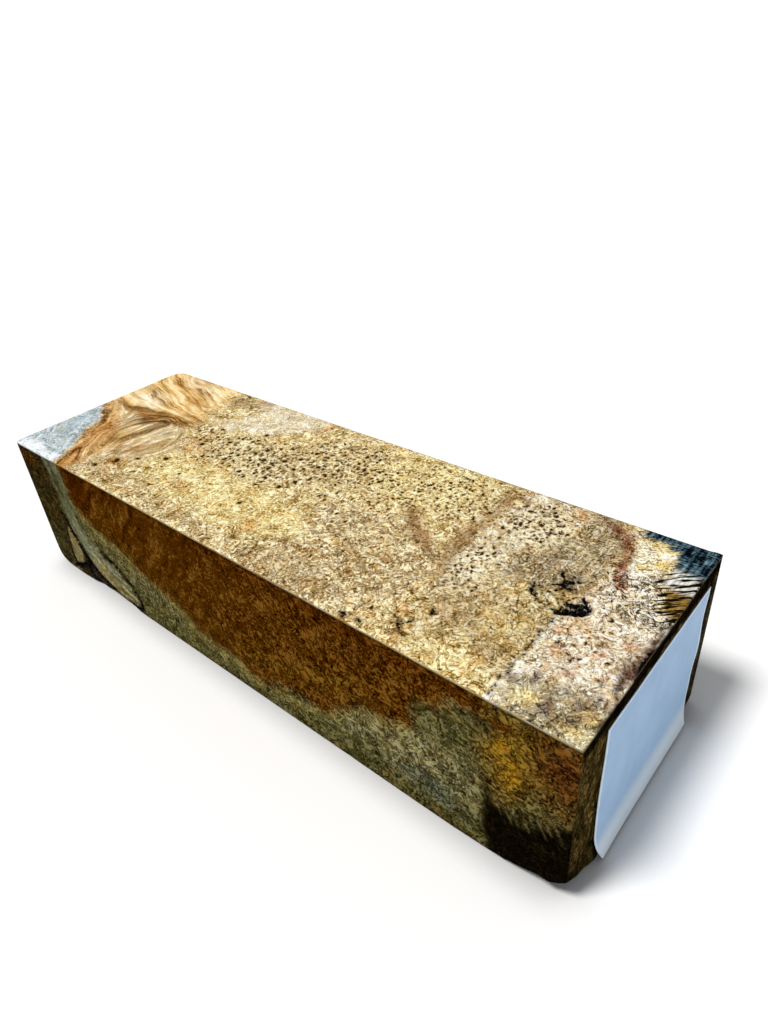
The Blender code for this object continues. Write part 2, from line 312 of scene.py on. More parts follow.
def figure_top_left(face):
    """Silver corner, the orange band that borders it, and the golden curly grain behind."""
    pale = face.area(
        (-43, 9), (-37, 13), (-33, 17), (-37, 22), (-35, 27), (-14.5, 27), (-14, 22), (-17, 17),
        (-21, 13.5), (-34, 8.5),
    )
    curly = face.area(
        (-78, 3), (-62, 1.5), (-50, 2.5), (-43, 5), (-44, 9), (-48, 12), (-46, 16), (-49, 21), (-47, 28),
        (-78, 28),
    )
    tan = face.area((-76, 3), (-60, 4), (-50, 3), (-46, -12), (-50, -28), (-60, -28))
    silver = face.area(
        (-80, 0), (-75, -0.8), (-72, -2.5), (-69.5, -4.5), (-66.3, -8), (-64.4, -12), (-62, -16),
        (-58.8, -19.3), (-56.5, -24.6), (-56, -28), (-80, -28),
    )
    face.tint(pale, PALE_PATCH, 1.5)
    face.set("fleck", pale, 0.45, 2)
    face.set("pinholes", pale, 0, 1)
    face.tint(tan, SWIRL_GREY, 2)
    face.tint(curly, GOLD_CURL, 2.5)
    face.set("curl", curly, 0.95, 4)
    face.set("pinholes", np.minimum(curly, tan), 0, 1)
    face.spot(-66, 9, 8, 3.2, -20, PALE_PATCH, 2.5, 0.6)
    face.spot(-60, 21, 9, 2.5, -20, PALE_PATCH, 2.5, 0.45)
    swirl = face.patch((-47.5, -5.5), (11, 9))
    face.tint(swirl, SWIRL_GREY, 2)
    face.set("curl", swirl, 0.62, 3)
    face.spot(-54, -12, 3.5, 9, 10, GOLD_CURL, 2, 0.6)
    face.set("curl", face.patch((-55, -10), (5, 11), 10), 0.8, 2)
    brown_band = face.band(
        (-75, 2, 0.4), (-66, 3.2, 0.5), (-60, 2.8, 1.9), (-54, 2.8, 2.6), (-47, 4.4, 1.7), (-41, 5, 0.8)
    )
    face.tint(brown_band, DARK_BAND, 1.6, 0.85)
    face.spot(-52, 4.6, 7, 1.6, 4, DARK_BAND, 1.4, 0.4)
    face.spot(-58, 0.6, 9, 2.2, -10, DARK_BAND, 2, 0.4)
    face.set("curl", face.patch((-60, 1), (12, 4), -8), 1, 2)
    face.tint(face.band((-57, 13.8, 0.3), (-53, 13.2, 0.9), (-48, 13.8, 0.4)), DEEP_ORANGE, 0.9, 0.9)
    face.tint(face.band((-51, 9.3, 0.2), (-48, 8.3, 0.5), (-45.5, 7.6, 0.2)), DARK_BAND, 0.7, 0.8)
    orange = face.band(
        (-76, 1.2, 1.2), (-70, -1.2, 1.6), (-65.5, -4.2, 2.2), (-61, -9, 3.6), (-58.5, -15, 3.4),
        (-55, -20, 2.6), (-53.5, -25, 2.4),
    )
    face.tint(orange, ORANGE, 2.2)
    face.spot(-66.5, -2.4, 1.6, 2.6, -30, GOLD_CURL, 1.2, 0.6)
    face.spot(-61.5, -9, 3, 5.5, 25, DEEP_ORANGE, 2.5, 0.35)
    face.set("curl", orange, 0.75, 2)
    face.set("fleck", orange, 1.1, 2)
    face.tint(face.band((-71, -2.6, 0.5), (-67, -5, 1), (-64.6, -6.6, 0.6)), DARK_BAND, 0.7, 0.9)
    face.spot(-52.5, -22, 1.8, 2.8, 0, DEEP_ORANGE, 1, 0.8)
    face.tint(face.band((-44, -6.6, 0.2), (-45, -9.2, 0.7), (-46, -11.8, 0.3)), DEEP_ORANGE, 0.7, 0.9)
    face.spot(-44.5, -16.5, 2.2, 1.4, 0, DEEP_ORANGE, 1.2, 0.8)
    face.tint(face.band((-56, -14.5, 0.3), (-50, -11.5, 0.7), (-45, -9, 0.3)), DEEP_ORANGE, 0.9, 0.7)
    face.tint(face.band((-52, -15, 0.2), (-47, -12.2, 0.5), (-43, -10.2, 0.2)), DARK_BAND, 0.8, 0.6)
    face.tint(face.band((-44, -19, 0.3), (-41, -20.2, 0.7), (-39, -19.8, 0.3)), DEEP_ORANGE, 0.9, 0.8)
    face.spot(-42, 20, 4, 2.6, 0, STAIN, 1.5, 0.85)
    face.spot(-35.5, 23, 2.2, 1.6, 0, RED_BROWN, 1.5, 0.5)
    face.spot(-13.4, 21.4, 1.4, 1.7, 0, ORANGE, 0.8, 0.9)
    face.tint(silver, SILVER, 0.5)
    face.set("curl", silver, 0.35, 1)
    face.set("fleck", silver, 0.55, 1)
    in_silver = silver + 1
    face.tint(np.maximum(face.patch((-71, -11), (4, 6)), in_silver), BLUE_SILVER, 2, 0.6)
    face.tint(np.maximum(face.patch((-68, -23.6), (7, 1.7)), in_silver), WHITE_GLARE, 0.7, 0.95)
    face.tint(np.maximum(face.patch((-59.8, -23.4), (2.6, 1.5)), in_silver), WHITE_GLARE, 0.8, 0.9)
    face.tint(
        face.line((-71, -19.2, 0.1), (-66.5, -21.2, 0.25), (-63, -21.7, 0.3), (-60, -21, 0.1)), BLUE_SILVER,
        0.5, 0.9,
    )


def figure_top_right(face):
    """Pale dotted wood, sawn olive wood, the dark corner with its feathery rays, and pinkish wood."""
    dotted = face.area(
        (38.7, 28), (38.9, 10), (39.3, 0), (40.6, -8.5), (43.5, -6.5), (45, -3), (46, 3), (48.5, 8),
        (51.3, 12), (52.5, 18), (51.6, 28),
    )
    olive = face.area(
        (52, 28), (53, 16), (51, 11), (48, 6), (46, 0), (50, -3), (60, 3), (62, 10), (61, 20), (57, 28)
    )
    pink = face.area((60.3, 6), (60.3, -28), (78, -28), (78, 5), (70, 5))
    speckled = face.area((62, 14), (70, 14), (71, 6), (76, 4), (76, 0), (62, 3))
    corner = face.area((61.5, -28), (62.5, -17), (67, -15.5), (72, -17), (78, -16), (78, -28))
    dark = face.area(
        (61.2, 28), (62.6, 22.2), (66, 22.4), (69.6, 20), (70.2, 15.5), (69.5, 12), (73, 4.6), (78, 3.6),
        (78, 28),
    )
    feather = face.area(
        (63, 20), (65.5, 22.2), (68, 21.6), (70, 18.5), (69, 15), (67.6, 12), (65, 11.5), (63.4, 14)
    )
    face.tint(dotted, PALE_DOTTED, 0.9, 0.85)
    face.set("fleck", dotted, 0.55, 1)
    face.spot(53, 22.8, 4, 2.2, 0, ORANGE, 1.2, 0.7)
    face.tint(olive, OLIVE_TAN, 1, 0.95)
    face.set("saw", olive, 0.8, 2)
    face.set("pinholes", olive, 0.05, 2)
    face.spot(50, -9, 9, 6, 0, OLIVE_TAN, 4, 0.5)
    # Painted glint: a pale yellow patch where the olive-tan wood catches the light
    face.spot(54, -10.5, 4.5, 3.6, 0, YELLOW_FIGURE, 3, 0.75)
    brown_line = face.band((38.4, 10, 0.3), (38.2, 4, 0.5), (38.8, -2, 0.6), (40.2, -8, 0.4))
    face.tint(brown_line, tones("A6804E", "6E4C26", "301A08"), 0.8, 0.75)
    face.tint(face.area((44, -4), (60.3, -4), (60.3, -21), (52, -17), (45, -23), (40, -12)), STAIN, 3, 0.35)
    face.tint(face.band((44, -12, 0.8), (50, -13.5, 1.4), (58, -18, 1.2)), STAIN, 2, 0.5)
    face.spot(52, -22, 6, 2.6, 0, YELLOW_FIGURE, 2, 0.6)
    face.tint(pink, PINK_CREAM, 0.25, 0.95)
    face.spot(64.5, -4.5, 3, 2.4, 0, ORANGE, 1.5, 0.5)
    face.tint(face.band((60.5, -4.5, 0.4), (60.6, -14, 0.4), (60.4, -24.5, 0.4)), FEATHER, 0.4, 0.9)
    dots = 13
    for dot in range(dots):
        x, y = 60.1 + 0.3 * math.sin(2.3 * dot), -5.4 - 1.45 * dot
        face.bark([(x, y, 0.08), (x + 0.2, y - 0.5 - 0.3 * math.sin(1.7 * dot), 0.16)])
    for x, y in ((62, -7), (63.6, -11.6), (69.4, -8.6), (71.6, -4.4), (66.2, -16.4), (72.4, -12.4)):
        face.spot(x, y, 0.9, 0.7, 20, tones("E8A868", "C07C40", "6A3410"), 0.7, 0.7)
    face.spot(67, -13.8, 1, 0.8, 0, RED_BROWN, 0.8, 0.8)
    face.tint(corner, CORNER_BANDS, 1.5)
    face.set("curl", corner, 0.3, 2)
    for x, y in ((68.7, -20.3), (71.6, -18.4), (72.7, -16.2), (68.6, -17.2), (61.5, -19.7), (64, -17.4)):
        face.spot(x, y, 1, 1.4, 30, PURPLE_GREY, 0.9, 0.6)
    for x, y in ((65.4, -20.6), (72.2, -22.2), (73.4, -19.4), (63.2, -21.6)):
        face.spot(x, y, 1.3, 1, 20, YELLOW_FIGURE, 0.8, 0.6)
    face.tint(speckled, SPECKLED_GREY, 1.2)
    face.set("fleck", speckled, 1, 1)
    red = face.band(
        (57.2, 22.6, 1.2), (60.6, 20.2, 1.7), (62.4, 16.8, 1.2), (62.8, 13, 0.8), (63.6, 9.5, 0.9),
        (64.8, 6.5, 0.6),
    )
    face.spot(61.8, 22.4, 1.6, 1.2, 0, PALE_DOTTED, 0.6, 0.9)
    face.tint(red, tones("BC8A68", "86543A", "3E1C0C"), 1, 0.8)
    for x, y in ((58.6, 21.8), (60.4, 19.4), (61.9, 17.6), (62.6, 12.4), (63.4, 9.4), (64.6, 7.2)):
        face.spot(x, y, 0.7, 0.5, 40, tones("8A4A30", "5A2816", "2A0E06"), 0.5, 0.8)
    face.tint(feather, FEATHER, 0.7)
    for x, y in ((68.3, 19.6), (65.7, 14.4), (66.6, 21.4), (68.8, 16.4)):
        face.spot(x, y, 1.3, 0.9, 30, tones("FFF0A0", "ECCC68", "8A6A24"), 0.7, 0.8)
    face.wood.corner[face.picked] = dark
    face.set("saw", dark, 1, 1)
    for name in ("eyes", "pinholes", "net"):
        face.set(name, dark - 3, 0, 1)
    face.spot(39.3, 19, 1.5, 1.3, 0, YELLOW_FIGURE, 0.6, 0.8)
    ring = ring_points(39.3, 19, 1.8, 0.35)
    face.tint(face.line(ring[-1], *ring), tones("94522A", "622E10", "2C1004"), 0.4, 0.95)
    # Painted shade: a dark line along the top's edge at the labelled end
    rim = face.band((74.9, -20, 0.3), (74.6, -12, 0.6), (74.8, 2, 0.4), (74.7, 12, 0.5), (74.8, 22, 0.3))
    face.tint(rim, BARK_AND_SHADE_BLACK, 0.4, 0.8)
    margin = face.band((74.6, -1, 0.6), (74, -5, 1.2), (74.3, -9, 1), (74.6, -12, 0.5))
    face.tint(margin, tones("7C5446", "4A2A22", "1C0C0A"), 0.8, 0.9)
    face.bark([(74.9, -3, 0.3), (74.8, -6.5, 0.45), (74.9, -8.5, 0.2)])


def ring_points(a, b, radius, half_width, count=14):
    """Points of a closed ring, for a line that follows it."""
    turns = [2 * math.pi * i / count for i in range(1, count + 1)]
    return [(a + radius * math.cos(t), b + radius * math.sin(t), half_width) for t in turns]


def bark_on_top(face):
    """Black bark caught in the wood: two stars, a ragged pocket and a few flecks."""
    large_star = [
        ((55.6, 5.3, 0.15), (57.2, 4, 0.35), (58, 2.5, 0.4), (59.8, 1.8, 0.15)),
        ((56, 1.6, 0.15), (57.6, 2.8, 0.35), (58.4, 4, 0.3), (60.1, 5.1, 0.12)),
        ((57, 0.5, 0.1), (58, 2.2, 0.3)),
        ((56, 5.7, 0.12), (58.8, 5.3, 0.15)),
        ((58, 4.4, 0.15), (59.2, 3, 0.2), (60.2, 2.5, 0.1)),
    ]
    pocket = [
        ((59.8, -4, 0.25), (60.8, -2.7, 0.75), (62, -1.8, 1), (63.3, -1.3, 0.6)),
        ((63.7, -0.5, 0.3), (62.6, 0.3, 0.45), (61.7, 1.6, 0.15)),
        ((60.1, -1.4, 0.15), (61.3, -0.6, 0.4), (62.6, -0.3, 0.4)),
        ((53.5, 0.7, 0.15), (53.9, -0.9, 0.4), (54.6, -1.8, 0.35), (55.6, -2.4, 0.1)),
    ]
    veins = [
        ((59.9, -3.3, 0.1), (57.4, -2.4, 0.1), (55.2, -0.6, 0.08), (54.4, 0.4, 0.05)),
        ((60.1, -2.4, 0.1), (58, -0.9, 0.1), (55.8, 0.4, 0.08), (54.8, 0.2, 0.05)),
        ((60.3, -1.8, 0.1), (59, -0.3, 0.08), (58.4, 1.2, 0.08)),
        ((59.6, -3.8, 0.08), (57, -3.4, 0.1), (55.4, -2.4, 0.08)),
        ((60.2, -1.4, 0.06), (60, 0.2, 0.06), (61.2, 1.6, 0.06)),
    ]
    small_star = [
        ((39.2, -18.5, 0.08), (40.7, -19, 0.14), (41.9, -19.6, 0.18), (43.3, -18.2, 0.08)),
        ((40.1, -20.8, 0.08), (41.6, -19.7, 0.18), (42.6, -21, 0.14), (43.6, -21.9, 0.08)),
        ((41.9, -19.6, 0.14), (41.3, -17.7, 0.06)),
        ((42.6, -20.6, 0.1), (41.8, -22.6, 0.06)),
    ]
    flecks = [
        ((44.2, -14, 0.2), (44.4, -15.1, 0.3)),
        ((32.2, -23.2, 0.3), (33.4, -23.6, 0.4)),
        ((35.6, -22.9, 0.2), (36.4, -23.2, 0.25)),
        ((71.2, -12.8, 0.2), (72, -13.2, 0.15)),
        ((-43.9, 24, 0.4), (-43.2, 23.2, 0.25)),
    ]
    face.spot(42.2, -22.4, 1, 1.6, 15, ORANGE, 0.5, 0.8)
    face.spot(40.6, -17, 0.9, 1.4, 30, ORANGE, 0.5, 0.7)
    face.spot(57.8, -0.8, 3, 2, 30, CREAM_EYES, 1, 0.8)
    face.bark(*large_star, depth=0.5)
    face.bark(*pocket, depth=0.9)
    face.bark(*veins, depth=0.1)
    face.bark(*small_star, depth=0.4)
    face.bark(*flecks, depth=0.25)


def grain_on_top(face):
    """The fibres slant at the back left, follow the silver corner, and fan out across the swirl."""
    a, b = face.a_calm, face.b_calm
    grain = np.stack([a, b + 0.34 * (a + 60) * step(b, 3, 14)], 1)
    silver_edge = [
        (-90, 4), (-75, -0.8), (-69.5, -4.5), (-66.3, -8), (-62, -16), (-56.5, -24.6), (-53, -34)
    ]
    beside = stroke(a, b, [(x, y, 0) for x, y in silver_edge])
    follows = (1 - step(beside, 4, 12))[:, None]
    grain += follows * (np.stack([0.7 * (a - b), 0.9 * beside], 1) - grain)
    fanned = np.stack([1.1 * b, 0.95 * (a + 47) * (1 - 0.012 * (b + 8)) - 0.02 * (b + 10) ** 2], 1)
    in_swirl = within(oval(a, b, (-49, -7), (10, 11)), 3)[:, None]
    grain += in_swirl * (fanned - grain)
    corner = (step(a, 58, 64) * (1 - step(b, -16, -12)))[:, None]
    grain += corner * (np.stack([0.75 * a + 0.65 * b, 0.75 * b - 0.65 * a], 1) - grain)
    face.run_grain(grain[:, 0], grain[:, 1])


def figure_front(wood):
    """Amber burl above grey-green sapwood, a pale vein with bark at one end, black wood at the other."""
    face = Face(wood, FRONT, 0, 2)
    amber = face.area(
        (-80, 40), (-55, 40), (-54.5, 31), (-53, 25), (-45, 21), (-35, 18), (-28, 14), (-22, 14), (-16, 12),
        (-12, 8.5), (0, 7.5), (6, 5.5), (15, 8), (19, 10), (25, 8.5), (30, 12), (36, 17), (47, 19.5),
        (47.4, 27), (53, 27.5), (54.2, 31), (60, 33), (62, 40),
    )
    golden = face.area((58, 40), (60.5, 20), (64, 17.5), (67, 22), (75, 27), (80, 40))
    black = face.area(
        (61, -3), (60.8, 16.8), (63, 14.5), (66, 13), (69, 13.5), (72, 16.5), (76, 19.5), (80, 20), (80, -3)
    )
    vein = face.area(
        (-62.5, 40), (-61.5, 30), (-61, 22), (-60, 16), (-57.5, 10), (-53.5, 4.5), (-47, 1.8), (-37.5, 1.6),
        (-36.4, 4), (-38.5, 7.5), (-44, 11), (-49, 12.8), (-52.5, 15.5), (-54.5, 22), (-56, 30), (-56, 40),
    )
    left = face.area((-80, 40), (-62, 40), (-61.5, 20), (-57, 8), (-50, -3), (-80, -3))
    petal = face.area(
        (-63, 16.5), (-61.2, 13), (-59.8, 8.5), (-60.4, 5.2), (-64.5, 3.2), (-65.3, 5), (-64.4, 10)
    )
    face.wood.fine[face.picked] = 0.82
    face.set("fleck", face.everywhere, 0.5)
    face.tint(face.everywhere, SAP_GREEN)
    face.spot(48, 13, 11, 6, 10, SAP_PALE, 4, 0.8)
    face.spot(33, 12, 6, 3, 30, SAP_PALE, 3, 0.6)
    face.spot(50, 7, 6, 3, 0, SAP_BLUE, 2, 0.7)
    face.spot(-30, 11, 10, 3, -15, SAP_PALE, 3, 0.35)
    face.tint(face.band((-70, -1, 1), (0, -1, 1.6), (60, -1, 2.2)), OLIVE_DARK, 2.5, 0.55)
    foot_of_amber = [
        (-55, 26), (-45, 21), (-35, 18), (-22, 14), (-12, 8.5), (6, 5.5), (25, 8.5), (36, 17), (47, 20)
    ]
    fringe = face.band(*[(x, z - 1.2, 1) for x, z in foot_of_amber])
    face.tint(fringe, tones("A89A5C", "746838", "30280E"), 1.6, 0.7)
    face.tint(amber, AMBER, 1.6)
    shaded = np.maximum(face.band((-56, 36, 4), (-20, 38, 4), (30, 38, 6), (60, 38, 4)), amber)
    face.tint(shaded, AMBER_RED, 5, 0.75)
    face.tint(np.maximum(face.patch((-50, 29), (4, 5)), amber), AMBER_RED, 2, 0.7)
    lit = face.band((-44, 23, 1), (-25, 17, 1.5), (-5, 10, 1.5), (12, 12, 2), (32, 19, 2), (40, 22, 1))
    face.tint(np.maximum(lit, amber), GOLDEN, 4, 0.4)
    face.tint(golden, GOLDEN, 3.5, 0.65)
    face.spot(65.5, 25, 5, 8, -10, tones("8E7026", "543A0E", "221002"), 4, 0.5)
    face.tint(
        face.area((67, 38), (68.5, 24), (71, 18), (80, 18), (80, 38)), tones("7E5A22", "4C320E", "180600"),
        2.5, 0.7,
    )
    face.tint(face.area((61, 18), (65, 16), (73, 19), (74, 12), (61, 12)), OLIVE_DARK, 2, 0.75)
    face.spot(64.6, 25, 2.4, 6.5, -12, tones("A8821E", "6E500E", "2C1C04"), 2.5, 0.5)
    face.spot(65, 22.8, 1, 2.2, -12, tones("C8941E", "8E6610", "463008"), 1.2, 0.7)
    face.spot(62.6, 27.5, 0.9, 2, -12, tones("C8941E", "8E6610", "463008"), 1, 0.5)
    face.spot(62.5, 32.3, 2.2, 1.2, 0, AMBER_RED, 1, 0.9)
    face.spot(73, 30, 2.5, 5, 0, tones("6A3C12", "34180A", "100400"), 1.5, 0.8)
    face.tint(left, OLIVE_DARK, 0.8)
    face.spot(-71, 33, 3.5, 1.8, 0, AMBER, 1.5, 0.8)
    face.spot(-70, 8, 5, 4, 0, SAP_GREEN, 3, 0.35)
    face.spot(-67.5, 1.5, 2.5, 1.2, 0, VEIN_GREY, 0.8, 0.7)
    face.tint(vein, VEIN_GREY, 0.6)
    face.tint(np.maximum(face.patch((-46, 5.5), (9, 2.6), -18), vein), VEIN_CREAM, 1.2, 0.9)
    face.spot(-59, 29, 2.6, 7, -5, SAP_GREEN, 1.5, 0.4)
    face.tint(petal, VEIN_CREAM, 0.4, 0.85)
    face.tint(black, BARK_AND_SHADE_BLACK, 1.3)
    for name, value in (("fleck", 0.6), ("curl", 0.6)):
        face.set(name, np.minimum(vein, petal), value, 1)
    face.set("fleck", amber, 0.42, 1)
    face.set("curl", np.maximum(amber, face.a_broad + 5), 0.4, 8)
    face.set("fleck", 8 - face.a_broad, 0.55, 8)
    face.set("fleck", black, 0.3, 1)
    # Painted shadow: a thin black line just under the top edge along the whole front
    face.tint(np.abs(face.b - HEIGHT) - 0.7, BARK_AND_SHADE_BLACK, 0.5, 0.85)
    fibres = 12
    for fibre in range(fibres):
        x, z = 62.6 + 0.95 * fibre, 14.4 + 0.25 * fibre + 1.4 * math.sin(2.1 * fibre)
        whiter = 0.55 if 2 <= fibre <= 5 else 0.35
        face.tint(face.line((x, z, 0.16), (x + 0.9, z - 1.9, 0.05)), VEIN_CREAM, 0.25, whiter)
    bark_on_front(face)
    grain_on_front(face)


def bark_on_front(face):
    """Bark veins beside the pale vein, and the cracks that they follow down to the foot."""
    main_vein = [
        (-62.8, 19.6, 0.5), (-61.2, 15, 0.8), (-59.5, 11, 1), (-57.8, 7.6, 1.3), (-55, 4.8, 1.2),
        (-51, 3, 1), (-47, 1.8, 0.7),
    ]
    upper_vein = [
        (-49, 13.6, 0.3), (-44, 12.2, 0.75), (-40.6, 10.2, 0.75), (-37.6, 7.8, 0.7), (-36, 4.8, 0.6),
        (-35.8, 2, 0.7),
    ]
    petal_rim = [(-59.4, 6, 0.5), (-61, 4, 0.7), (-64, 2.6, 0.7), (-67.5, 1.2, 0.5)]
    petal_edge = [(-62.7, 18, 0.15), (-64.6, 11, 0.3), (-65.8, 6, 0.4), (-65.4, 3, 0.5)]
    foot = [(-58.5, 5, 1), (-57.5, 1.8, 1.2), (-52, 0.7, 1.1), (-44, 0.8, 0.6), (-36, 1.2, 0.6)]
    small = [[(19, 9.6, 0.2), (20.4, 9, 0.25)], [(30, 0.6, 0.4), (31, 0.4, 0.3)]]
    face.bark(main_vein, petal_rim, upper_vein, foot, depth=0.9)
    face.bark(petal_edge, depth=0.3)
    face.bark(*small, depth=0.2)


def grain_on_front(face):
    """The fibres slant across the block, and follow the pale vein beside it."""
    a, b = face.a_broad, face.b_broad
    vein_line = [(-60, 45, 0), (-59, 25, 0), (-56, 12, 0), (-47, 6.5, 0), (-30, 2, 0)]
    beside = stroke(a, b, vein_line)
    near = 1 - step(beside, 5, 9)
    across = 0.6 * b - 0.8 * a
    face.run_grain(a, across + near * (beside - across))


def figure_ends(wood):
    """Dark sawn end grain under the label, and silver over olive wood on the plain end."""
    for end in (LABEL_END, PLAIN_END):
        face = Face(wood, end, 1, 2)
        face.tint(face.everywhere, END_GRAIN)
        face.set("saw", face.everywhere, 0.7)
        face.set("fleck", face.everywhere, 0.5)
        face.set("curl", face.everywhere, 0.35)
        face.wood.fine[face.picked] = 0.8
        if end == LABEL_END:
            face.spot(25, 18, 4, 24, 0, tones("564E38", "28241A", "0A0804"), 1, 0.9)
            # Painted shade: a black band under the end's top edge, and black lines along the label's near
            # and far edges that stand for the shadowed gaps behind the paper
            face.tint(face.band((-26, 35.5, 2.2), (0, 35.5, 2.6), (26, 35.5, 2.2)), BARK_AND_SHADE_BLACK, 0.6, 0.97)
            face.tint(
                face.band((-17.6, 36, 0.5), (-17.8, 20, 0.5), (-16.6, 8, 1), (-14, -2, 2)), BARK_AND_SHADE_BLACK, 0.8,
                0.9,
            )
            face.tint(face.band((20.4, 36, 0.8), (20.8, 18, 0.8), (20.2, -2, 1.4)), BARK_AND_SHADE_BLACK, 0.8, 0.9)
            face.spot(-22, 3, 4, 6, 0, BARK_AND_SHADE_BLACK, 3, 0.8)
        else:
            face.tint(face.area((-28, 22), (-10, 26), (-2, 38), (-28, 40)), SILVER, 1.5, 0.8)
            curly = face.area((-2, 38), (-6, 28), (4, 20), (30, 16), (30, 40))
            face.tint(curly, GOLD_CURL, 2.5, 0.75)
            face.tint(face.band((-12, 40, 1), (-7, 28, 2), (6, 19, 2), (28, 15, 1.5)), ORANGE, 2, 0.6)
            face.set("curl", curly, 0.9, 3)
        face.run_grain(face.b_calm, face.a_calm + 0.25 * face.b_calm)


def figure_back(wood):
    """The unseen back: the top's zones carried down into amber burl over sapwood."""
    face = Face(wood, BACK, 0, 2)
    amber = face.area(
        (-80, 40), (-80, 14), (-60, 12), (-42, 8), (-20, 10), (0, 14), (18, 12), (36, 17), (50, 22),
        (60, 28), (62, 40),
    )
    face.tint(face.everywhere, SAP_GREEN)
    face.tint(face.area((-60, 9), (-20, 6), (10, 9), (40, 12), (45, 4), (-50, 1)), SAP_PALE, 4, 0.7)
    face.tint(amber, AMBER, 1)
    face.tint(np.maximum(face.area((-80, 40), (-80, 24), (-50, 22), (-42, 40)), amber), GOLD_CURL, 4, 0.7)
    face.set("curl", face.area((-80, 40), (-80, 20), (-50, 18), (-42, 40)), 0.9, 4)
    face.tint(face.area((-42, 40), (-34, 31), (-20, 30), (-14, 40)), PALE_PATCH, 3.5, 0.5)
    face.tint(face.area((-16, 40), (-10, 32), (20, 29), (56, 33), (60, 40)), STAIN, 4, 0.7)
    face.tint(face.area((61, 40), (60, 24), (64, 10), (72, 2), (80, 0), (80, 40)), DARK_TEAL, 3, 0.97)
    face.tint(face.band((58.5, 40, 0.8), (58, 26, 1), (61, 12, 0.5)), RED_BROWN, 2, 0.6)
    face.set("fleck", amber, 0.5, 1)
    face.bark(
        [(-30, 4, 0.2), (-22, 6.4, 0.5), (-12, 6, 0.6), (-4, 3.4, 0.3), (2, 0.6, 0.3)],
        [(22, 20, 0.2), (24, 17, 0.5), (23, 14, 0.3)],
        depth=0.6,
    )
    face.run_grain(face.a_broad, 0.8 * face.b_broad + 0.3 * face.a_broad)


def figure_under(wood):
    """The unseen underside: sapwood with a darker bark-stained rim at the worn corners."""
    face = Face(wood, UNDER, 0, 1)
    face.tint(face.everywhere, SAP_GREEN)
    face.tint(
        face.area((-60, -14), (-20, -18), (30, -14), (52, 2), (30, 18), (-30, 16), (-58, 6)), SAP_PALE, 6,
        0.8,
    )
    face.tint(face.area((60, -30), (58, 0), (64, 30), (80, 30), (80, -30)), BARK_AND_SHADE_BLACK, 3, 0.85)
    face.tint(face.area((-80, -30), (-50, -30), (-54, -18), (-66, 0), (-80, 10)), OLIVE_DARK, 3, 0.85)
    face.set("saw", face.everywhere, 0.8)
    face.bark(
        [(-58, -25, 0.8), (-50, -21, 0.5), (-38, -22.5, 0.4), (-34, -26, 0.3)],
        [(20, 10, 0.2), (26, 12.6, 0.6), (33, 11.6, 0.3)],
        depth=0.5,
    )
    face.run_grain(face.a_broad, face.b_broad)


# The eyes of the burl: where they crowd, and the lone ones that stand out


EYE_CLUSTERS = (
    # centre, radii, turn in degrees, large eyes, small eyes, pale net between them
    ((-16, 3), (18, 8), 0, 0.95, 0.7, 0.6),
    ((-15, 4), (9, 4), 0, 1.3, 0.8, 1),
    ((1, 12), (13, 9), 10, 0.75, 1, 0.4),
    ((24, 14), (14, 9), 0, 0.3, 1, 0.3),
    ((-36, 4), (4, 6), 0, 0.9, 0.6, 0.2),
    ((46, 14.5), (6, 6.5), 30, 0.75, 1.1, 1),
    ((43, -1), (4, 9), 0, 0, 1.1, 0.9),
    ((12, 2), (12, 7), 0, 0.15, 0.5, 0.2),
    ((68, -7), (6.5, 9), 0, 0, 0.35, 0.2),
    ((-30, -14), (9, 5), 0, 0, 0.35, 0),
    ((33, -14), (25, 9), 0, 0, 0.2, 0),
)
LONE_EYES = (
    # x, y, radius
    (-44.3, -15.7, 0.8), (-46.9, -19.6, 0.55), (-40.5, -12.4, 0.45), (-34.8, -8.8, 0.5),
    (-6.5, -11.3, 0.5), (-33.4, 0.3, 0.5), (-33.8, 1.7, 0.4), (-18, 6.6, 0.45),
    (-15.4, 3.1, 0.5), (-11, 5.4, 0.5), (-19.2, 4.2, 0.4), (-23.6, 11.4, 0.5),
    (-8.6, 7.9, 0.5), (-4.2, -2.6, 0.45), (-2.8, 0.5, 0.45), (-6.8, 4, 0.4),
)


def crowd_eyes(face):
    """Says how thickly each kind of eye, and the pale net between them, stands at each place."""
    for centre, radii, turn, large, small, net in EYE_CLUSTERS:
        near = oval(face.a_broad, face.b_broad, centre, radii, turn)
        for name, most in (("eyes", large), ("pinholes", small), ("net", net)):
            quality = getattr(face.wood, name)
            quality[face.picked] = np.maximum(quality[face.picked], most * (1 - step(near, -3, 2)))


def sink_lone_eyes(wood):
    """Sinks each lone eye into the top, with the nearest point of the mesh moved to its middle."""
    picked = np.flatnonzero(wood.faces == TOP)
    for x, y, radius in LONE_EYES:
        away = np.hypot(wood.points[picked, 0] - x, wood.points[picked, 1] - y)
        wood.points[picked[np.argmin(away)], :2] = x, y
        near = picked[away < 2 * radius]
        away = np.hypot(wood.points[near, 0] - x, wood.points[near, 1] - y) / radius
        wood.depth[near] = np.maximum(wood.depth[near], 0.5 * radius * (1 - step(away, 0.2, 1.4)))


# The block's mesh


def cut_along(block, axis, parts):
    """Divides every edge that runs along an axis into equal parts."""
    bpy.ops.object.mode_set(mode="EDIT")
    bpy.ops.mesh.select_mode(type="EDGE")
    bpy.ops.mesh.select_all(action="DESELECT")
    bm = bmesh.from_edit_mesh(block.data)
    for edge in bm.edges:
        run = edge.verts[0].co - edge.verts[1].co
        if abs(run[axis]) > 0.99 * run.length:
            edge.select_set(True)
    bmesh.update_edit_mesh(block.data)
    bpy.ops.mesh.subdivide(number_cuts=parts - 1)
    bpy.ops.object.mode_set(mode="OBJECT")


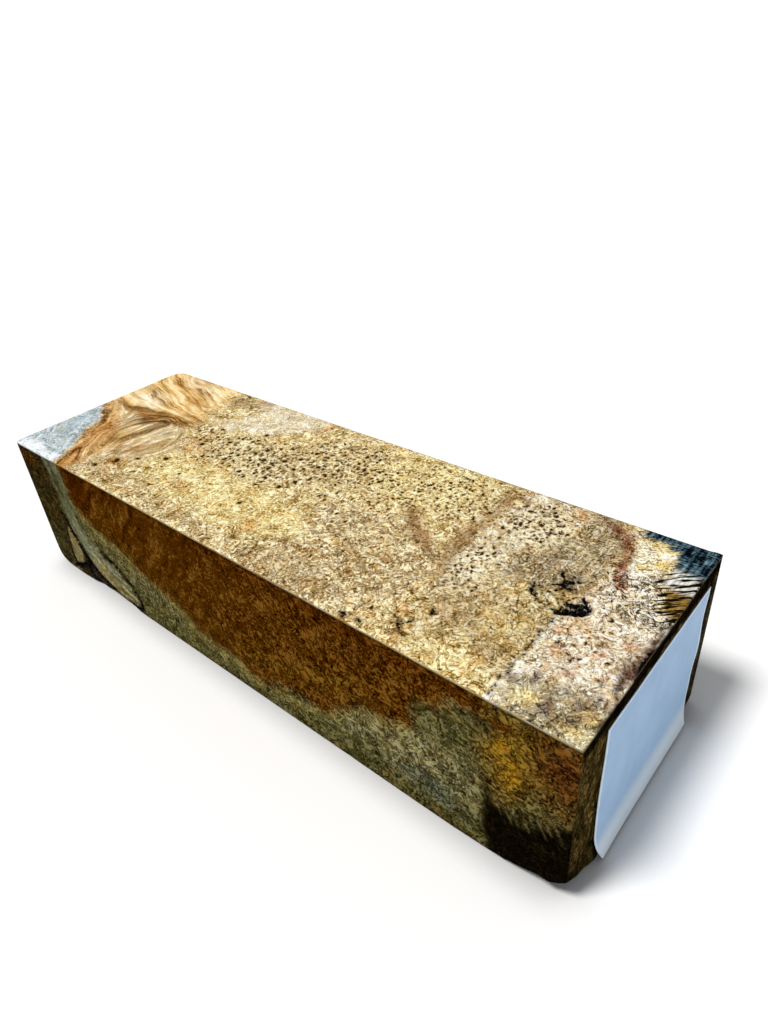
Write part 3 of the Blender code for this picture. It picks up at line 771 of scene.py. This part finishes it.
def crowd_lines(points):
    """Draws the mesh lines closer together where the small bark marks are, and apart elsewhere."""
    places = (
        (0, HALF_LENGTH, ((58, 7, 1.5), (70, 5, 1.2), (41.5, 4, 1.0))),
        (1, HALF_WIDTH, ((0.5, 6, 1.0), (-20, 4, 1.0), (14, 8, 0.5))),
    )
    for axis, half, crowds in places:
        even = np.linspace(-half, half, 2001)
        closeness = np.ones_like(even)
        for centre, reach, more in crowds:
            closeness += more * np.exp(-(((even - centre) / reach) ** 2))
        run = np.concatenate([[0], np.cumsum((closeness[1:] + closeness[:-1]) / 2)])
        points[:, axis] = np.interp(points[:, axis], -half + 2 * half * run / run[-1], even)


def read_points(mesh):
    """A mesh's points in millimetres."""
    flat = np.empty(len(mesh.vertices) * 3, np.float32)
    mesh.vertices.foreach_get("co", flat)
    return flat.reshape(-1, 3).astype(float) / MM


def write_points(mesh, points):
    mesh.vertices.foreach_set("co", (points * MM).astype(np.float32).ravel())
    mesh.update()


def face_of(points):
    """The face that each point of the plain box is on, the first that claims it on a shared edge."""
    near = 1e-3
    faces = np.full(len(points), UNDER)
    faces[points[:, 1] > HALF_WIDTH - near] = BACK
    faces[points[:, 0] < -HALF_LENGTH + near] = PLAIN_END
    faces[points[:, 0] > HALF_LENGTH - near] = LABEL_END
    faces[points[:, 1] < -HALF_WIDTH + near] = FRONT
    faces[points[:, 2] > HEIGHT - near] = TOP
    return faces


def solid_tree(node):
    """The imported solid's surface, for measuring from."""
    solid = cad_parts[node]
    solid.hide_viewport = False
    corners = [v.co / MM for v in solid.data.vertices]
    return BVHTree.FromPolygons(corners, [tuple(p.vertices) for p in solid.data.polygons])


def fit_to_solid(points, tree):
    """Brings the plain box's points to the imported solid: its worn corners, roundings and leaning back.

    Returns the fitted points and the way out of the wood at each.
    """
    core_margin = 3.4
    inset = 0.7
    below = -5
    lean_from = 20
    crisp_from, crisp_to, crisp_share = 2.0, 1.0, 0.8
    core_low = np.array([-HALF_LENGTH, -HALF_WIDTH, 0]) + core_margin
    core_high = np.array([HALF_LENGTH, HALF_WIDTH, HEIGHT]) - core_margin
    lifts = {}
    fitted, outward = points.copy(), np.zeros_like(points)
    for index, point in enumerate(points):
        x = float(np.clip(point[0], -HALF_LENGTH + inset, HALF_LENGTH - inset))
        y = float(np.clip(point[1], -HALF_WIDTH + inset, HALF_WIDTH - inset))
        key = (round(x, 3), round(y, 3))
        if key not in lifts:
            hit = tree.ray_cast(Vector((x, y, below)), Vector((0, 0, 1)))[0]
            lifts[key] = hit.z if hit else 0.0
        lift = lifts[key]
        core = np.clip(point, core_low, core_high)
        start = Vector((core[0], core[1], core[2] + lift * (1 - core[2] / HEIGHT)))
        aim = Vector((point[0], point[1], point[2] + lift * (1 - point[2] / HEIGHT)))
        way = (aim - start).normalized()
        hit = tree.ray_cast(start, way)[0] or aim
        lean = BACK_LEAN * (1 - point[2] / HEIGHT) * float(step(point[1], lean_from, HALF_WIDTH))
        from_corner = math.hypot(HALF_LENGTH - point[0], HALF_WIDTH - point[1])
        crisp = crisp_share * float(step(from_corner, crisp_from, crisp_to))
        fitted[index] = hit.lerp(aim + Vector((0, lean, 0)), crisp)
        outward[index] = way
    return fitted, outward


def add_values(mesh, name, kind, values):
    made = mesh.attributes.new(name, kind, "POINT")
    field = "color" if kind == "FLOAT_COLOR" else "vector"
    made.data.foreach_set(field, values.astype(np.float32).ravel())


def store_figure(mesh, wood):
    """Keeps the figure on the mesh, for the material to read."""
    opaque = np.ones((len(wood.points), 1))
    for index, name in enumerate(("tone_light", "tone_middle", "tone_dark")):
        add_values(mesh, name, "FLOAT_COLOR", np.hstack([wood.tone[:, index], opaque]))
    add_values(mesh, "grain", "FLOAT_VECTOR", wood.grain)
    add_values(mesh, "figure", "FLOAT_VECTOR", np.stack([wood.curl, wood.fleck, wood.saw], 1))
    add_values(mesh, "eyes", "FLOAT_VECTOR", np.stack([wood.eyes, wood.pinholes, wood.net], 1))
    add_values(mesh, "bark", "FLOAT_VECTOR", np.stack([wood.bark, wood.corner, wood.fine], 1))


# Materials


class Nodes:
    """Builds a material's node tree: each call adds one node and returns its first output."""

    def __init__(self, name):
        self.material = bpy.data.materials.new(name)
        self.material.use_nodes = True
        self.tree = self.material.node_tree
        self.shader = self.tree.nodes["Principled BSDF"]

    def add(self, kind, *inputs, output=0, **settings):
        node = self.tree.nodes.new(kind)
        for name, value in settings.items():
            setattr(node, name, value)
        for socket, value in zip(node.inputs, inputs):
            self.feed(socket, value)
        return node.outputs[output]

    def feed(self, socket, value):
        if value is None:
            return
        if isinstance(value, bpy.types.NodeSocket):
            self.tree.links.new(value, socket)
        else:
            socket.default_value = value

    def math(self, operation, *values, clamp=False):
        return self.add("ShaderNodeMath", *values, operation=operation, use_clamp=clamp)

    def plus(self, a, b):
        return self.math("ADD", a, b)

    def minus(self, a, b):
        return self.math("SUBTRACT", a, b)

    def times(self, a, b):
        return self.math("MULTIPLY", a, b)

    def larger(self, a, b):
        return self.math("MAXIMUM", a, b)

    def vector(self, operation, a, b):
        return self.add("ShaderNodeVectorMath", a, b, operation=operation)

    def scaled(self, vector, scale):
        return self.add("ShaderNodeVectorMath", vector, None, None, scale, operation="SCALE")

    def stretch(self, vector, scale):
        return self.add("ShaderNodeMapping", vector, None, None, scale)

    def turned(self, vector, degrees):
        return self.add("ShaderNodeMapping", vector, None, (0, 0, math.radians(degrees)))

    def noise(self, vector, scale, detail=2.0, rough=0.5, distortion=0.0, colour=False):
        kept = self.add("ShaderNodeTexNoise", output="Color" if colour else "Fac")
        node = kept.node
        self.feed(node.inputs["Vector"], vector)
        for name, value in (
            ("Scale", scale), ("Detail", detail), ("Roughness", rough), ("Distortion", distortion)
        ):
            node.inputs[name].default_value = value
        return kept

    def cells(self, vector, scale, output="Distance", **settings):
        kept = self.add("ShaderNodeTexVoronoi", output=output, **settings)
        self.feed(kept.node.inputs["Vector"], vector)
        kept.node.inputs["Scale"].default_value = scale
        return kept

    def rise(self, value, start, end, low=0.0, high=1.0):
        """A smooth change from low to high as value goes from start to end."""
        node = self.add("ShaderNodeMapRange", value, interpolation_type="SMOOTHSTEP").node
        for name, number in (("From Min", start), ("From Max", end), ("To Min", low), ("To Max", high)):
            self.feed(node.inputs[name], number)
        return node.outputs[0]

    def mix(self, share, a, b, blend="MIX"):
        node = self.tree.nodes.new("ShaderNodeMix")
        node.data_type = "RGBA"
        node.blend_type = blend
        self.feed(node.inputs["Factor"], share)
        self.feed(node.inputs[6], a)
        self.feed(node.inputs[7], b)
        return node.outputs[2]

    def tinted(self, share, colour, tint):
        """The colour multiplied by a tint, over a share of each place."""
        return self.mix(share, colour, self.mix(1.0, colour, (*tint, 1), "MULTIPLY"))

    def blend_values(self, share, a, b):
        node = self.tree.nodes.new("ShaderNodeMix")
        self.feed(node.inputs["Factor"], share)
        self.feed(node.inputs[2], a)
        self.feed(node.inputs[3], b)
        return node.outputs[0]

    def roughen(self, height, strength, depth):
        """Fine relief in the surface, too small to model."""
        bump = self.add("ShaderNodeBump").node
        bump.inputs["Strength"].default_value = strength
        bump.inputs["Distance"].default_value = depth
        self.feed(bump.inputs["Height"], height)
        self.feed(self.shader.inputs["Normal"], bump.outputs[0])

    def attribute(self, name, output="Vector"):
        return self.add("ShaderNodeAttribute", attribute_name=name, output=output)

    def split(self, vector):
        node = self.add("ShaderNodeSeparateXYZ", vector).node
        return node.outputs[0], node.outputs[1], node.outputs[2]


def in_millimetres(n):
    place = n.add("ShaderNodeTexCoord", output="Object")
    return n.stretch(place, (1 / MM, 1 / MM, 1 / MM))


def about_middle(n, value, gain):
    """A value of about a half, as a difference from a half made this many times larger."""
    return n.times(n.minus(value, 0.5), gain)


def shaken(n, vector, scale, reach):
    """A place moved about smoothly, by up to a few times the reach."""
    shift = n.vector("SUBTRACT", n.noise(vector, scale, 2, 0.5, colour=True), (0.5, 0.5, 0.5))
    return n.vector("ADD", vector, n.scaled(shift, reach))


def total(n, first, *others):
    for other in others:
        first = n.plus(first, other)
    return first


def fleck_figure(n, place):
    """The crowded little curls of burl wood: winding strokes and rings, a millimetre or less wide."""
    wound = shaken(n, place, 0.25, 4.0)
    curls = n.noise(wound, 0.8, 2, 0.6, 1.0)
    outlines = n.rise(n.math("ABSOLUTE", n.minus(curls, 0.5)), 0.0, 0.045)
    loops = n.rise(n.math("ABSOLUTE", n.minus(n.noise(place, 0.42, 1, 0.5, 0.9), 0.5)), 0.0, 0.022)
    grain = n.noise(wound, 2.2, 2, 0.7, 0.8)
    patches = n.noise(place, 0.3, 2, 0.5)
    buds = n.cells(shaken(n, place, 0.6, 2.4), 0.36)
    chance, ringed, _ = n.split(buds.node.outputs["Color"])
    rings = n.math("SINE", n.plus(n.times(buds, 19.0), n.times(chance, 9.0)))
    return total(
        n,
        about_middle(n, curls, 2.4),
        about_middle(n, grain, 3.8),
        about_middle(n, patches, 1.8),
        n.times(rings, n.rise(ringed, 0.5, 0.7, 0.06, 0.34)),
        n.times(n.minus(outlines, 0.8), 1.0),
        n.times(n.minus(loops, 0.85), 0.9),
    )


def curl_figure(n, grain):
    """Long wavy fibres that follow the stored grain."""
    wavy = shaken(n, grain, 0.16, 1.6)
    broad = n.noise(n.stretch(wavy, (0.07, 0.5, 0.2)), 1.0, 3, 0.6)
    fine = n.noise(n.stretch(wavy, (0.22, 2.8, 0.6)), 1.0, 3, 0.7)
    return n.plus(about_middle(n, broad, 3.6), about_middle(n, fine, 2.0))


def saw_marks(n, place):
    """Fine lines that the saw left across the block."""
    across = n.noise(n.stretch(place, (2.3, 0.05, 0.05)), 1.0, 2, 0.7)
    return n.rise(across, 0.35, 0.65)


def burl_material(settings):
    """Figured wood: three tones picked by the figure, then the dark corner, eyes, saw marks and bark."""
    n = Nodes("burl_wood")
    place = in_millimetres(n)
    curl, fleck, saw = n.split(n.attribute("figure"))
    _, _, fine = n.split(n.attribute("bark"))
    spread = n.scaled(place, fine)
    flecks = n.times(fleck_figure(n, spread), fleck)
    figure = n.blend_values(curl, flecks, curl_figure(n, n.attribute("grain")))
    tone = n.plus(figure, 0.5)
    colour = n.mix(
        n.rise(tone, 0.0, 0.5), n.attribute("tone_dark", "Color"), n.attribute("tone_middle", "Color")
    )
    colour = n.mix(n.rise(tone, 0.5, 1.0), colour, n.attribute("tone_light", "Color"))
    warm = n.rise(n.noise(n.vector("ADD", place, (31, 7, 0)), 0.24, 2, 0.6, 0.5), 0.54, 0.68, 0.0, 0.5)
    _, _, blueness = n.split(n.attribute("tone_light"))
    coloured = n.rise(blueness, 0.93, 0.82)
    warm = n.times(warm, coloured)
    colour = n.tinted(warm, colour, (0.95, 0.76, 0.5))
    hue = n.noise(n.vector("ADD", place, (5, 19, 3)), 0.8, 3, 0.6, 0.6)
    golden = n.times(n.rise(hue, 0.5, 0.68, 0.0, 0.8), coloured)
    colour = n.tinted(golden, colour, (1.0, 0.84, 0.56))
    colour = n.tinted(n.rise(hue, 0.5, 0.34, 0.0, 0.8), colour, (0.97, 1.02, 1.2))
    colour = draw_dark_corner(n, colour, place)
    colour, pits = draw_eyes(n, colour, place)
    sawn = n.times(n.times(saw_marks(n, place), saw), 0.6)
    colour = n.tinted(sawn, colour, (0.3, 0.28, 0.25))
    colour, sunk = draw_bark(n, colour, place)
    n.feed(n.shader.inputs["Base Color"], colour)
    n.shader.inputs["Specular IOR Level"].default_value = 0.0
    n.feed(n.shader.inputs["Roughness"], n.rise(tone, 0.0, 1.0, 0.7, 0.55))
    height = n.minus(n.times(tone, 0.3), n.larger(sunk, pits))
    n.roughen(height, settings.relief, 0.2 * MM)
    return n.material


def draw_dark_corner(n, colour, place):
    """Blue-black sawn wood, into which the feathery pale wood beside it runs in thin rays."""
    _, corner, _ = n.split(n.attribute("bark"))
    _, y, _ = n.split(place)
    rays = n.noise(n.stretch(n.turned(place, -42), (0.24, 2.3, 0.4)), 1.0, 2, 0.65)
    ray_length = n.math("MULTIPLY_ADD", n.rise(y, 18, 13), 8.0, 5.0)
    edge = n.plus(corner, about_middle(n, rays, ray_length))
    inside = n.rise(edge, 0.5, -0.4)
    streaks = n.noise(n.stretch(place, (0.7, 3.2, 0.5)), 1.0, 2, 0.7)
    saw_lines = n.noise(n.stretch(place, (1.9, 0.3, 0.3)), 1.0, 1, 0.5)
    hatch = n.plus(n.times(streaks, 0.55), n.times(saw_lines, 0.45))
    blue = n.mix(n.rise(hatch, 0.44, 0.62), opaque("030C12"), opaque("628494"))
    blue = n.mix(n.rise(hatch, 0.6, 0.68), blue, opaque("C4CCCE"))
    ray_light = n.mix(n.rise(y, 10, 12.5), opaque("A8843F"), opaque("FFFCF2"))
    rayed = n.mix(n.rise(rays, 0.44, 0.53), opaque("140E08"), ray_light)
    return n.mix(inside, colour, n.mix(n.rise(y, 17.5, 15), blue, rayed))


def eye_layer(n, place, scale, size, spread, crowding):
    """Dots in random cells: how deep in a dot each place is, and how near to one."""
    dots = n.cells(place, scale, voronoi_dimensions="2D")
    chance, largeness, _ = n.split(dots.node.outputs["Color"])
    present = n.math("MULTIPLY", n.minus(crowding, chance), 6.0, clamp=True)
    grown = n.times(largeness, largeness)
    radius = n.times(n.math("MULTIPLY_ADD", grown, spread, size), present)
    inside = n.minus(radius, dots)
    return n.rise(inside, -0.02, 0.08), n.times(n.rise(inside, -0.26, -0.02), present)


def draw_eyes(n, colour, place):
    """Each eye is a dark pit in a tan ring, with pale wood between where they crowd."""
    large, small, net = n.split(n.attribute("eyes"))
    loose = shaken(n, place, 0.9, 1.6)
    large_pit, large_ring = eye_layer(n, loose, 0.66, 0.13, 0.22, large)
    small_pit, small_ring = eye_layer(n, n.vector("ADD", loose, (3.3, 8.1, 0)), 0.95, 0.13, 0.2, small)
    gaps = n.cells(loose, 0.6, feature="DISTANCE_TO_EDGE", voronoi_dimensions="2D")
    pale = n.times(n.rise(gaps, 0.24, 0.03), n.times(net, 0.7))
    lone = 9.0
    near = n.vector("MULTIPLY", shaken(n, place, 1.2, 0.7), (1, 1, 0))
    for x, y, radius in LONE_EYES:
        away = n.add("ShaderNodeVectorMath", near, (x, y, 0), operation="DISTANCE", output="Value")
        lone = n.math("MINIMUM", lone, n.math("DIVIDE", away, radius))
    pits = n.larger(n.larger(large_pit, small_pit), n.rise(lone, 1.25, 0.9))
    rings = n.larger(n.larger(large_ring, small_ring), n.rise(lone, 2.6, 1.1))
    colour = n.mix(pale, colour, opaque("FFF8D0"))
    colour = n.mix(n.times(rings, 0.6), colour, opaque("7C5412"))
    return n.mix(n.times(pits, 0.95), colour, opaque("220E00")), pits


def draw_bark(n, colour, place):
    """Black crumbling bark with a ragged edge, in a narrow brown stain."""
    bark, _, _ = n.split(n.attribute("bark"))
    fray = n.noise(place, 1.8, 3, 0.65)
    edge = n.plus(bark, about_middle(n, fray, 1.3))
    inside = n.rise(edge, 0.12, -0.08)
    stain = n.times(n.rise(edge, 0.7, 0.0), 0.45)
    colour = n.mix(stain, colour, opaque("302010"))
    crumbs = n.mix(n.rise(n.noise(place, 2.4, 2, 0.7), 0.52, 0.74), opaque("060403"), opaque("444240"))
    return n.mix(inside, colour, crumbs), inside


def paper_material(settings):
    """Matte paper with a faint mottle, with a painted highlight along its rim and painted light on its
    curled foot.
    """
    n = Nodes("label_paper")
    place = in_millimetres(n)
    mottle = n.noise(place, 0.12, 3, 0.5)
    streaks = n.noise(n.stretch(place, (1, 0.35, 0.09)), 1.0, 3, 0.6)
    colour = n.mix(mottle, (*settings.shade, 1), (*settings.colour, 1))
    colour = n.mix(n.times(n.rise(streaks, 0.35, 0.7), 0.25), colour, (*settings.colour, 1))
    rim, _, _ = n.split(n.attribute("rim"))
    _, _, height = n.split(place)
    # Painted light: the colour turns paler near the paper's rim, where its edge catches light, and low
    # down, where the foot curls out and faces up
    pale = n.larger(n.rise(rim, 0.7, 0.1), n.rise(height, 7.0, 2.0))
    colour = n.mix(n.times(pale, 0.9), colour, opaque("EAF6FF"))
    n.feed(n.shader.inputs["Base Color"], colour)
    n.shader.inputs["Roughness"].default_value = 0.55
    n.shader.inputs["Specular IOR Level"].default_value = 0.3
    fibre = n.noise(place, 3.0, 4, 0.7)
    n.roughen(n.plus(fibre, streaks), 0.25, 0.05 * MM)
    return n.material


def floor_material(settings):
    """Plain pale floor, with painted contact shade: its colour darkens where something stands close over
    it.
    """
    n = Nodes("pale_floor")
    openness = n.add("ShaderNodeAmbientOcclusion", None, CONTACT_REACH, output=1)
    shaded = tuple(PAINTED_CONTACT_SHADE * share for share in settings.floor_colour)
    n.feed(
        n.shader.inputs["Base Color"],
        n.mix(n.rise(openness, 0.4, 1.0), (*shaded, 1), (*settings.floor_colour, 1)),
    )
    n.shader.inputs["Roughness"].default_value = 0.9
    n.shader.inputs["Specular IOR Level"].default_value = 0.0
    return n.material


# Settings


class BurlSettings(bpy.types.PropertyGroup):
    parts_along: IntProperty(
        name="Parts along", description="Mesh columns along the block, in sixteenths", default=17
    )
    parts_across: IntProperty(name="Parts across", description="Mesh rows across the block", default=88)
    parts_up: IntProperty(name="Parts up", description="Mesh rows up the block", default=64)
    relief: FloatProperty(
        name="Relief", description="Strength of the sanded surface's fine relief", default=0.6
    )


class LabelSettings(bpy.types.PropertyGroup):
    thickness: FloatProperty(
        name="Thickness", description="Thickness of the paper", default=0.12 * MM, unit="LENGTH"
    )
    gap: FloatProperty(
        name="Gap", description="How far the paper is off the wood", default=0.07 * MM, unit="LENGTH"
    )
    flare: FloatProperty(
        name="Flare", description="How far the foot curls away", default=1.2 * MM, unit="LENGTH"
    )
    curl_share: FloatProperty(
        name="Curl share", description="Paper height over the height of its curl", default=4.6
    )
    buckle: FloatProperty(
        name="Buckle", description="How far the side edges lift", default=0.1 * MM, unit="LENGTH"
    )
    crease: FloatProperty(
        name="Crease", description="Depth of the soft creases", default=0.05 * MM, unit="LENGTH"
    )
    foot_near: FloatProperty(
        name="Near foot", description="How far the foot's near corner draws in", default=2.6 * MM,
        unit="LENGTH",
    )
    foot_far: FloatProperty(
        name="Far foot", description="How far the foot's far corner draws in", default=0.9 * MM,
        unit="LENGTH",
    )
    far_hollow: FloatProperty(
        name="Far hollow", description="How far the wavy far edge is cut in", default=0.8 * MM,
        unit="LENGTH",
    )
    slant: FloatProperty(
        name="Slant", description="How much higher the near top corner is", default=0.9 * MM, unit="LENGTH"
    )
    # The paper's blue-white colour holds painted skylight shade; the paper itself is near white
    colour: FloatVectorProperty(
        name="Colour", description="The paper's colour", subtype="COLOR", default=linear("AECEEC")
    )
    shade: FloatVectorProperty(
        name="Shade", description="The paper's colour in its folds", subtype="COLOR",
        default=linear("8CB0D8"),
    )


class StageSettings(bpy.types.PropertyGroup):
    floor_colour: FloatVectorProperty(
        name="Floor", description="The floor's colour", subtype="COLOR", default=(0.97, 0.97, 0.97)
    )
    floor_size: FloatProperty(
        name="Floor size", description="Width of the floor", default=40.0, unit="LENGTH"
    )
    key_strength: FloatProperty(name="Key", description="Strength of the soft overhead light", default=2.75)
    key_softness: FloatProperty(
        name="Softness", description="How wide the light looks", default=math.radians(13), subtype="ANGLE"
    )
    fill_strength: FloatProperty(
        name="Fill", description="Strength of the light from all round", default=0.32
    )
    lens: FloatProperty(name="Lens", description="The camera's focal length in millimetres", default=25.18)


def settings_of(kind):
    return getattr(bpy.context.scene, kind)


# Operators


def deselect_all():
    bpy.ops.object.select_all(action="DESELECT")


class BURL_OT_block(bpy.types.Operator):
    """Model the burl block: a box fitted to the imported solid, with its eyes and bark pockets sunk in"""

    bl_idname = "burl.block"
    bl_label = "Burl block"

    def execute(self, context):
        settings = settings_of("burl_settings")
        deselect_all()
        size = (2 * HALF_LENGTH * MM, 2 * HALF_WIDTH * MM, HEIGHT * MM)
        bpy.ops.mesh.primitive_cube_add(size=1, location=(0, 0, size[2] / 2), scale=size)
        block = context.object
        block.name = block.data.name = "figured_burl"
        bpy.ops.object.transform_apply(location=True, rotation=True, scale=True)
        cut_along(block, 0, COARSE_PARTS)
        cut_along(block, 0, settings.parts_along)
        cut_along(block, 1, settings.parts_across)
        cut_along(block, 2, settings.parts_up)
        plain = read_points(block.data)
        crowd_lines(plain)
        faces = face_of(plain)
        fitted, outward = fit_to_solid(plain, solid_tree("burl_block"))
        wood = Wood(fitted, faces)
        sink_lone_eyes(wood)
        for draw in (figure_under, figure_back, figure_ends, figure_front, figure_top):
            draw(wood)
        store_figure(block.data, wood)
        write_points(block.data, wood.points - outward * wood.depth[:, None])
        block.data.shade_smooth()
        block.data.materials.append(burl_material(settings))
        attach(block, "root")
        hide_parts("burl_block")
        return {"FINISHED"}


def stand_off(settings, across, height):
    """How far the paper's back is from the wood, for a place across it and up it, each 0 to 1."""
    drop = max(0.0, 1 - height * settings.curl_share)
    buckle = math.sin(9 * height + 3 * across) + math.sin(5 * height - 7 * across)
    edge = abs(2 * across - 1) ** 3
    return settings.gap + settings.buckle * edge * (1 + 0.5 * buckle) + settings.flare * drop**1.8


class BURL_OT_label(bpy.types.Operator):
    """Model the blank paper label, stuck on the end with its foot curling away"""

    bl_idname = "burl.label"
    bl_label = "Paper label"

    def execute(self, context):
        settings = settings_of("label_settings")
        low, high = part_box("end_label")
        deselect_all()
        columns, rows = 72, 66
        bpy.ops.mesh.primitive_grid_add(x_subdivisions=columns, y_subdivisions=rows, size=1)
        label = context.object
        label.name = label.data.name = "paper_label"
        points = read_points(label.data) * MM
        flat = points.copy()
        for point in points:
            across, height = point[0] + 0.5, point[1] + 0.5
            drawn = (settings.foot_near * (1 - across) - settings.foot_far * across) * (1 - height) ** 6
            top = high.z - settings.slant * across
            wave = 0.5 + 0.5 * math.sin(17 * height + 1) * (1 - 0.4 * height)
            hollow = settings.far_hollow * across**6 * wave
            y = low.y + across * (high.y - low.y) + drawn - hollow
            z = low.z + height * (top - low.z)
            fold = noise.fractal(
                Vector((0, y / (9 * MM) + z / (14 * MM), z / (22 * MM) - y / (30 * MM))), 1.0, 2.0, 3
            )
            x = HALF_LENGTH * MM + stand_off(settings, across, height) + settings.thickness / 2
            point[:] = (x + settings.crease * fold, y, z)
        write_points(label.data, points / MM)
        rim = np.minimum(0.5 - np.abs(flat[:, 0]), 0.5 - np.abs(flat[:, 1])) * (high.z - low.z) / MM
        add_values(label.data, "rim", "FLOAT_VECTOR", np.stack([rim, rim, rim], 1))
        paper = label.modifiers.new("paper", "SOLIDIFY")
        paper.thickness = settings.thickness
        paper.offset = 0
        bpy.ops.object.modifier_apply(modifier=paper.name)
        bpy.ops.object.mode_set(mode="EDIT")
        bpy.ops.mesh.select_all(action="SELECT")
        bpy.ops.mesh.normals_make_consistent(inside=False)
        bpy.ops.object.mode_set(mode="OBJECT")
        bpy.ops.object.shade_smooth_by_angle(angle=math.radians(40))
        label.data.materials.append(paper_material(settings))
        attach(label, "root")
        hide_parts("end_label")
        return {"FINISHED"}


CAMERA_PLACE = Vector((0.09711, -0.08072, 0.11175))
CAMERA_AIM = Vector((0.00147, 0.02214, 0.018))
CAMERA_ROLL = math.radians(-4.93)
# The floor lies this far under the block, so that neither face shows through the other
FLOOR_GAP = 0.05 * MM
# Within this reach of the block the floor's colour darkens as painted contact shade, at most to this share
# of its colour
CONTACT_REACH = 7 * MM
PAINTED_CONTACT_SHADE = 0.66
KEY_FROM = Vector((-0.23, -0.42, 1.0))


class BURL_OT_stage(bpy.types.Operator):
    """Add the pale floor, the soft light and the camera"""

    bl_idname = "burl.stage"
    bl_label = "Stage"

    def execute(self, context):
        settings = settings_of("stage_settings")
        deselect_all()
        bpy.ops.mesh.primitive_plane_add(size=settings.floor_size, location=(0, 0, -FLOOR_GAP))
        bpy.ops.object.transform_apply(location=True)
        floor = context.object
        floor.name = "floor"
        floor.data.materials.append(floor_material(settings))
        add_lights(settings)
        add_camera(settings)
        context.scene.view_settings.view_transform = "Standard"
        return {"FINISHED"}


def add_lights(settings):
    """One soft light from above, and an even dome that is brighter below the horizon."""
    bpy.ops.object.light_add(type="SUN", rotation=KEY_FROM.to_track_quat("Z", "Y").to_euler())
    key = bpy.context.object
    key.data.energy = settings.key_strength
    key.data.angle = settings.key_softness
    key.data.color = (1.0, 0.985, 0.965)
    world = bpy.data.worlds.new("studio")
    bpy.context.scene.world = world
    world.use_nodes = True
    tree = world.node_tree
    sky = tree.nodes["Background"]
    sky.inputs["Strength"].default_value = 1.0
    ramp = tree.nodes.new("ShaderNodeValToRGB")
    split = tree.nodes.new("ShaderNodeSeparateXYZ")
    coordinates = tree.nodes.new("ShaderNodeTexCoord")
    tree.links.new(coordinates.outputs["Generated"], split.inputs[0])
    tree.links.new(split.outputs["Z"], ramp.inputs[0])
    tree.links.new(ramp.outputs[0], sky.inputs["Color"])
    ramp.color_ramp.elements[0].position = 0.1
    ramp.color_ramp.elements[0].color = (1.05, 1.05, 1.05, 1)
    fill = settings.fill_strength
    ramp.color_ramp.elements[1].position = 0.13
    ramp.color_ramp.elements[1].color = (0.98 * fill, fill, 1.03 * fill, 1)


def add_camera(settings):
    """The camera that was fitted to the photo's corners of the block."""
    bpy.ops.object.camera_add(location=CAMERA_PLACE)
    camera = bpy.context.object
    level = (CAMERA_AIM - CAMERA_PLACE).to_track_quat("-Z", "Y").to_matrix()
    camera.rotation_euler = (level @ Matrix.Rotation(CAMERA_ROLL, 3, "Z")).to_euler()
    camera.data.lens = settings.lens
    camera.data.sensor_width = 36
    camera.data.clip_start = 0.01
    bpy.context.scene.camera = camera


class BURL_PT_sidebar(bpy.types.Panel):
    """The burl block's pieces and their settings"""

    bl_idname = "BURL_PT_sidebar"
    bl_label = "Amboyna burl block"
    bl_space_type = "VIEW_3D"
    bl_region_type = "UI"
    bl_category = "Burl"

    def draw(self, context):
        shown = (
            ("burl.block", "burl_settings"),
            ("burl.label", "label_settings"),
            ("burl.stage", "stage_settings"),
        )
        for operator, kind in shown:
            column = self.layout.column()
            column.operator(operator)
            settings = getattr(context.scene, kind)
            for name in settings.bl_rna.properties.keys():
                if name not in ("rna_type", "name"):
                    column.prop(settings, name)


SETTINGS = (
    ("burl_settings", BurlSettings),
    ("label_settings", LabelSettings),
    ("stage_settings", StageSettings),
)
TOOLS = (BURL_OT_block, BURL_OT_label, BURL_OT_stage, BURL_PT_sidebar)


def register():
    for name, kind in SETTINGS:
        bpy.utils.register_class(kind)
        setattr(bpy.types.Scene, name, PointerProperty(type=kind))
    for tool in TOOLS:
        bpy.utils.register_class(tool)


def unregister():
    for tool in reversed(TOOLS):
        bpy.utils.unregister_class(tool)
    for name, kind in reversed(SETTINGS):
        delattr(bpy.types.Scene, name)
        bpy.utils.unregister_class(kind)


def main():
    register()
    bpy.ops.burl.block()
    bpy.ops.burl.label()
    bpy.ops.burl.stage()


if __name__ == "__main__":
    main()
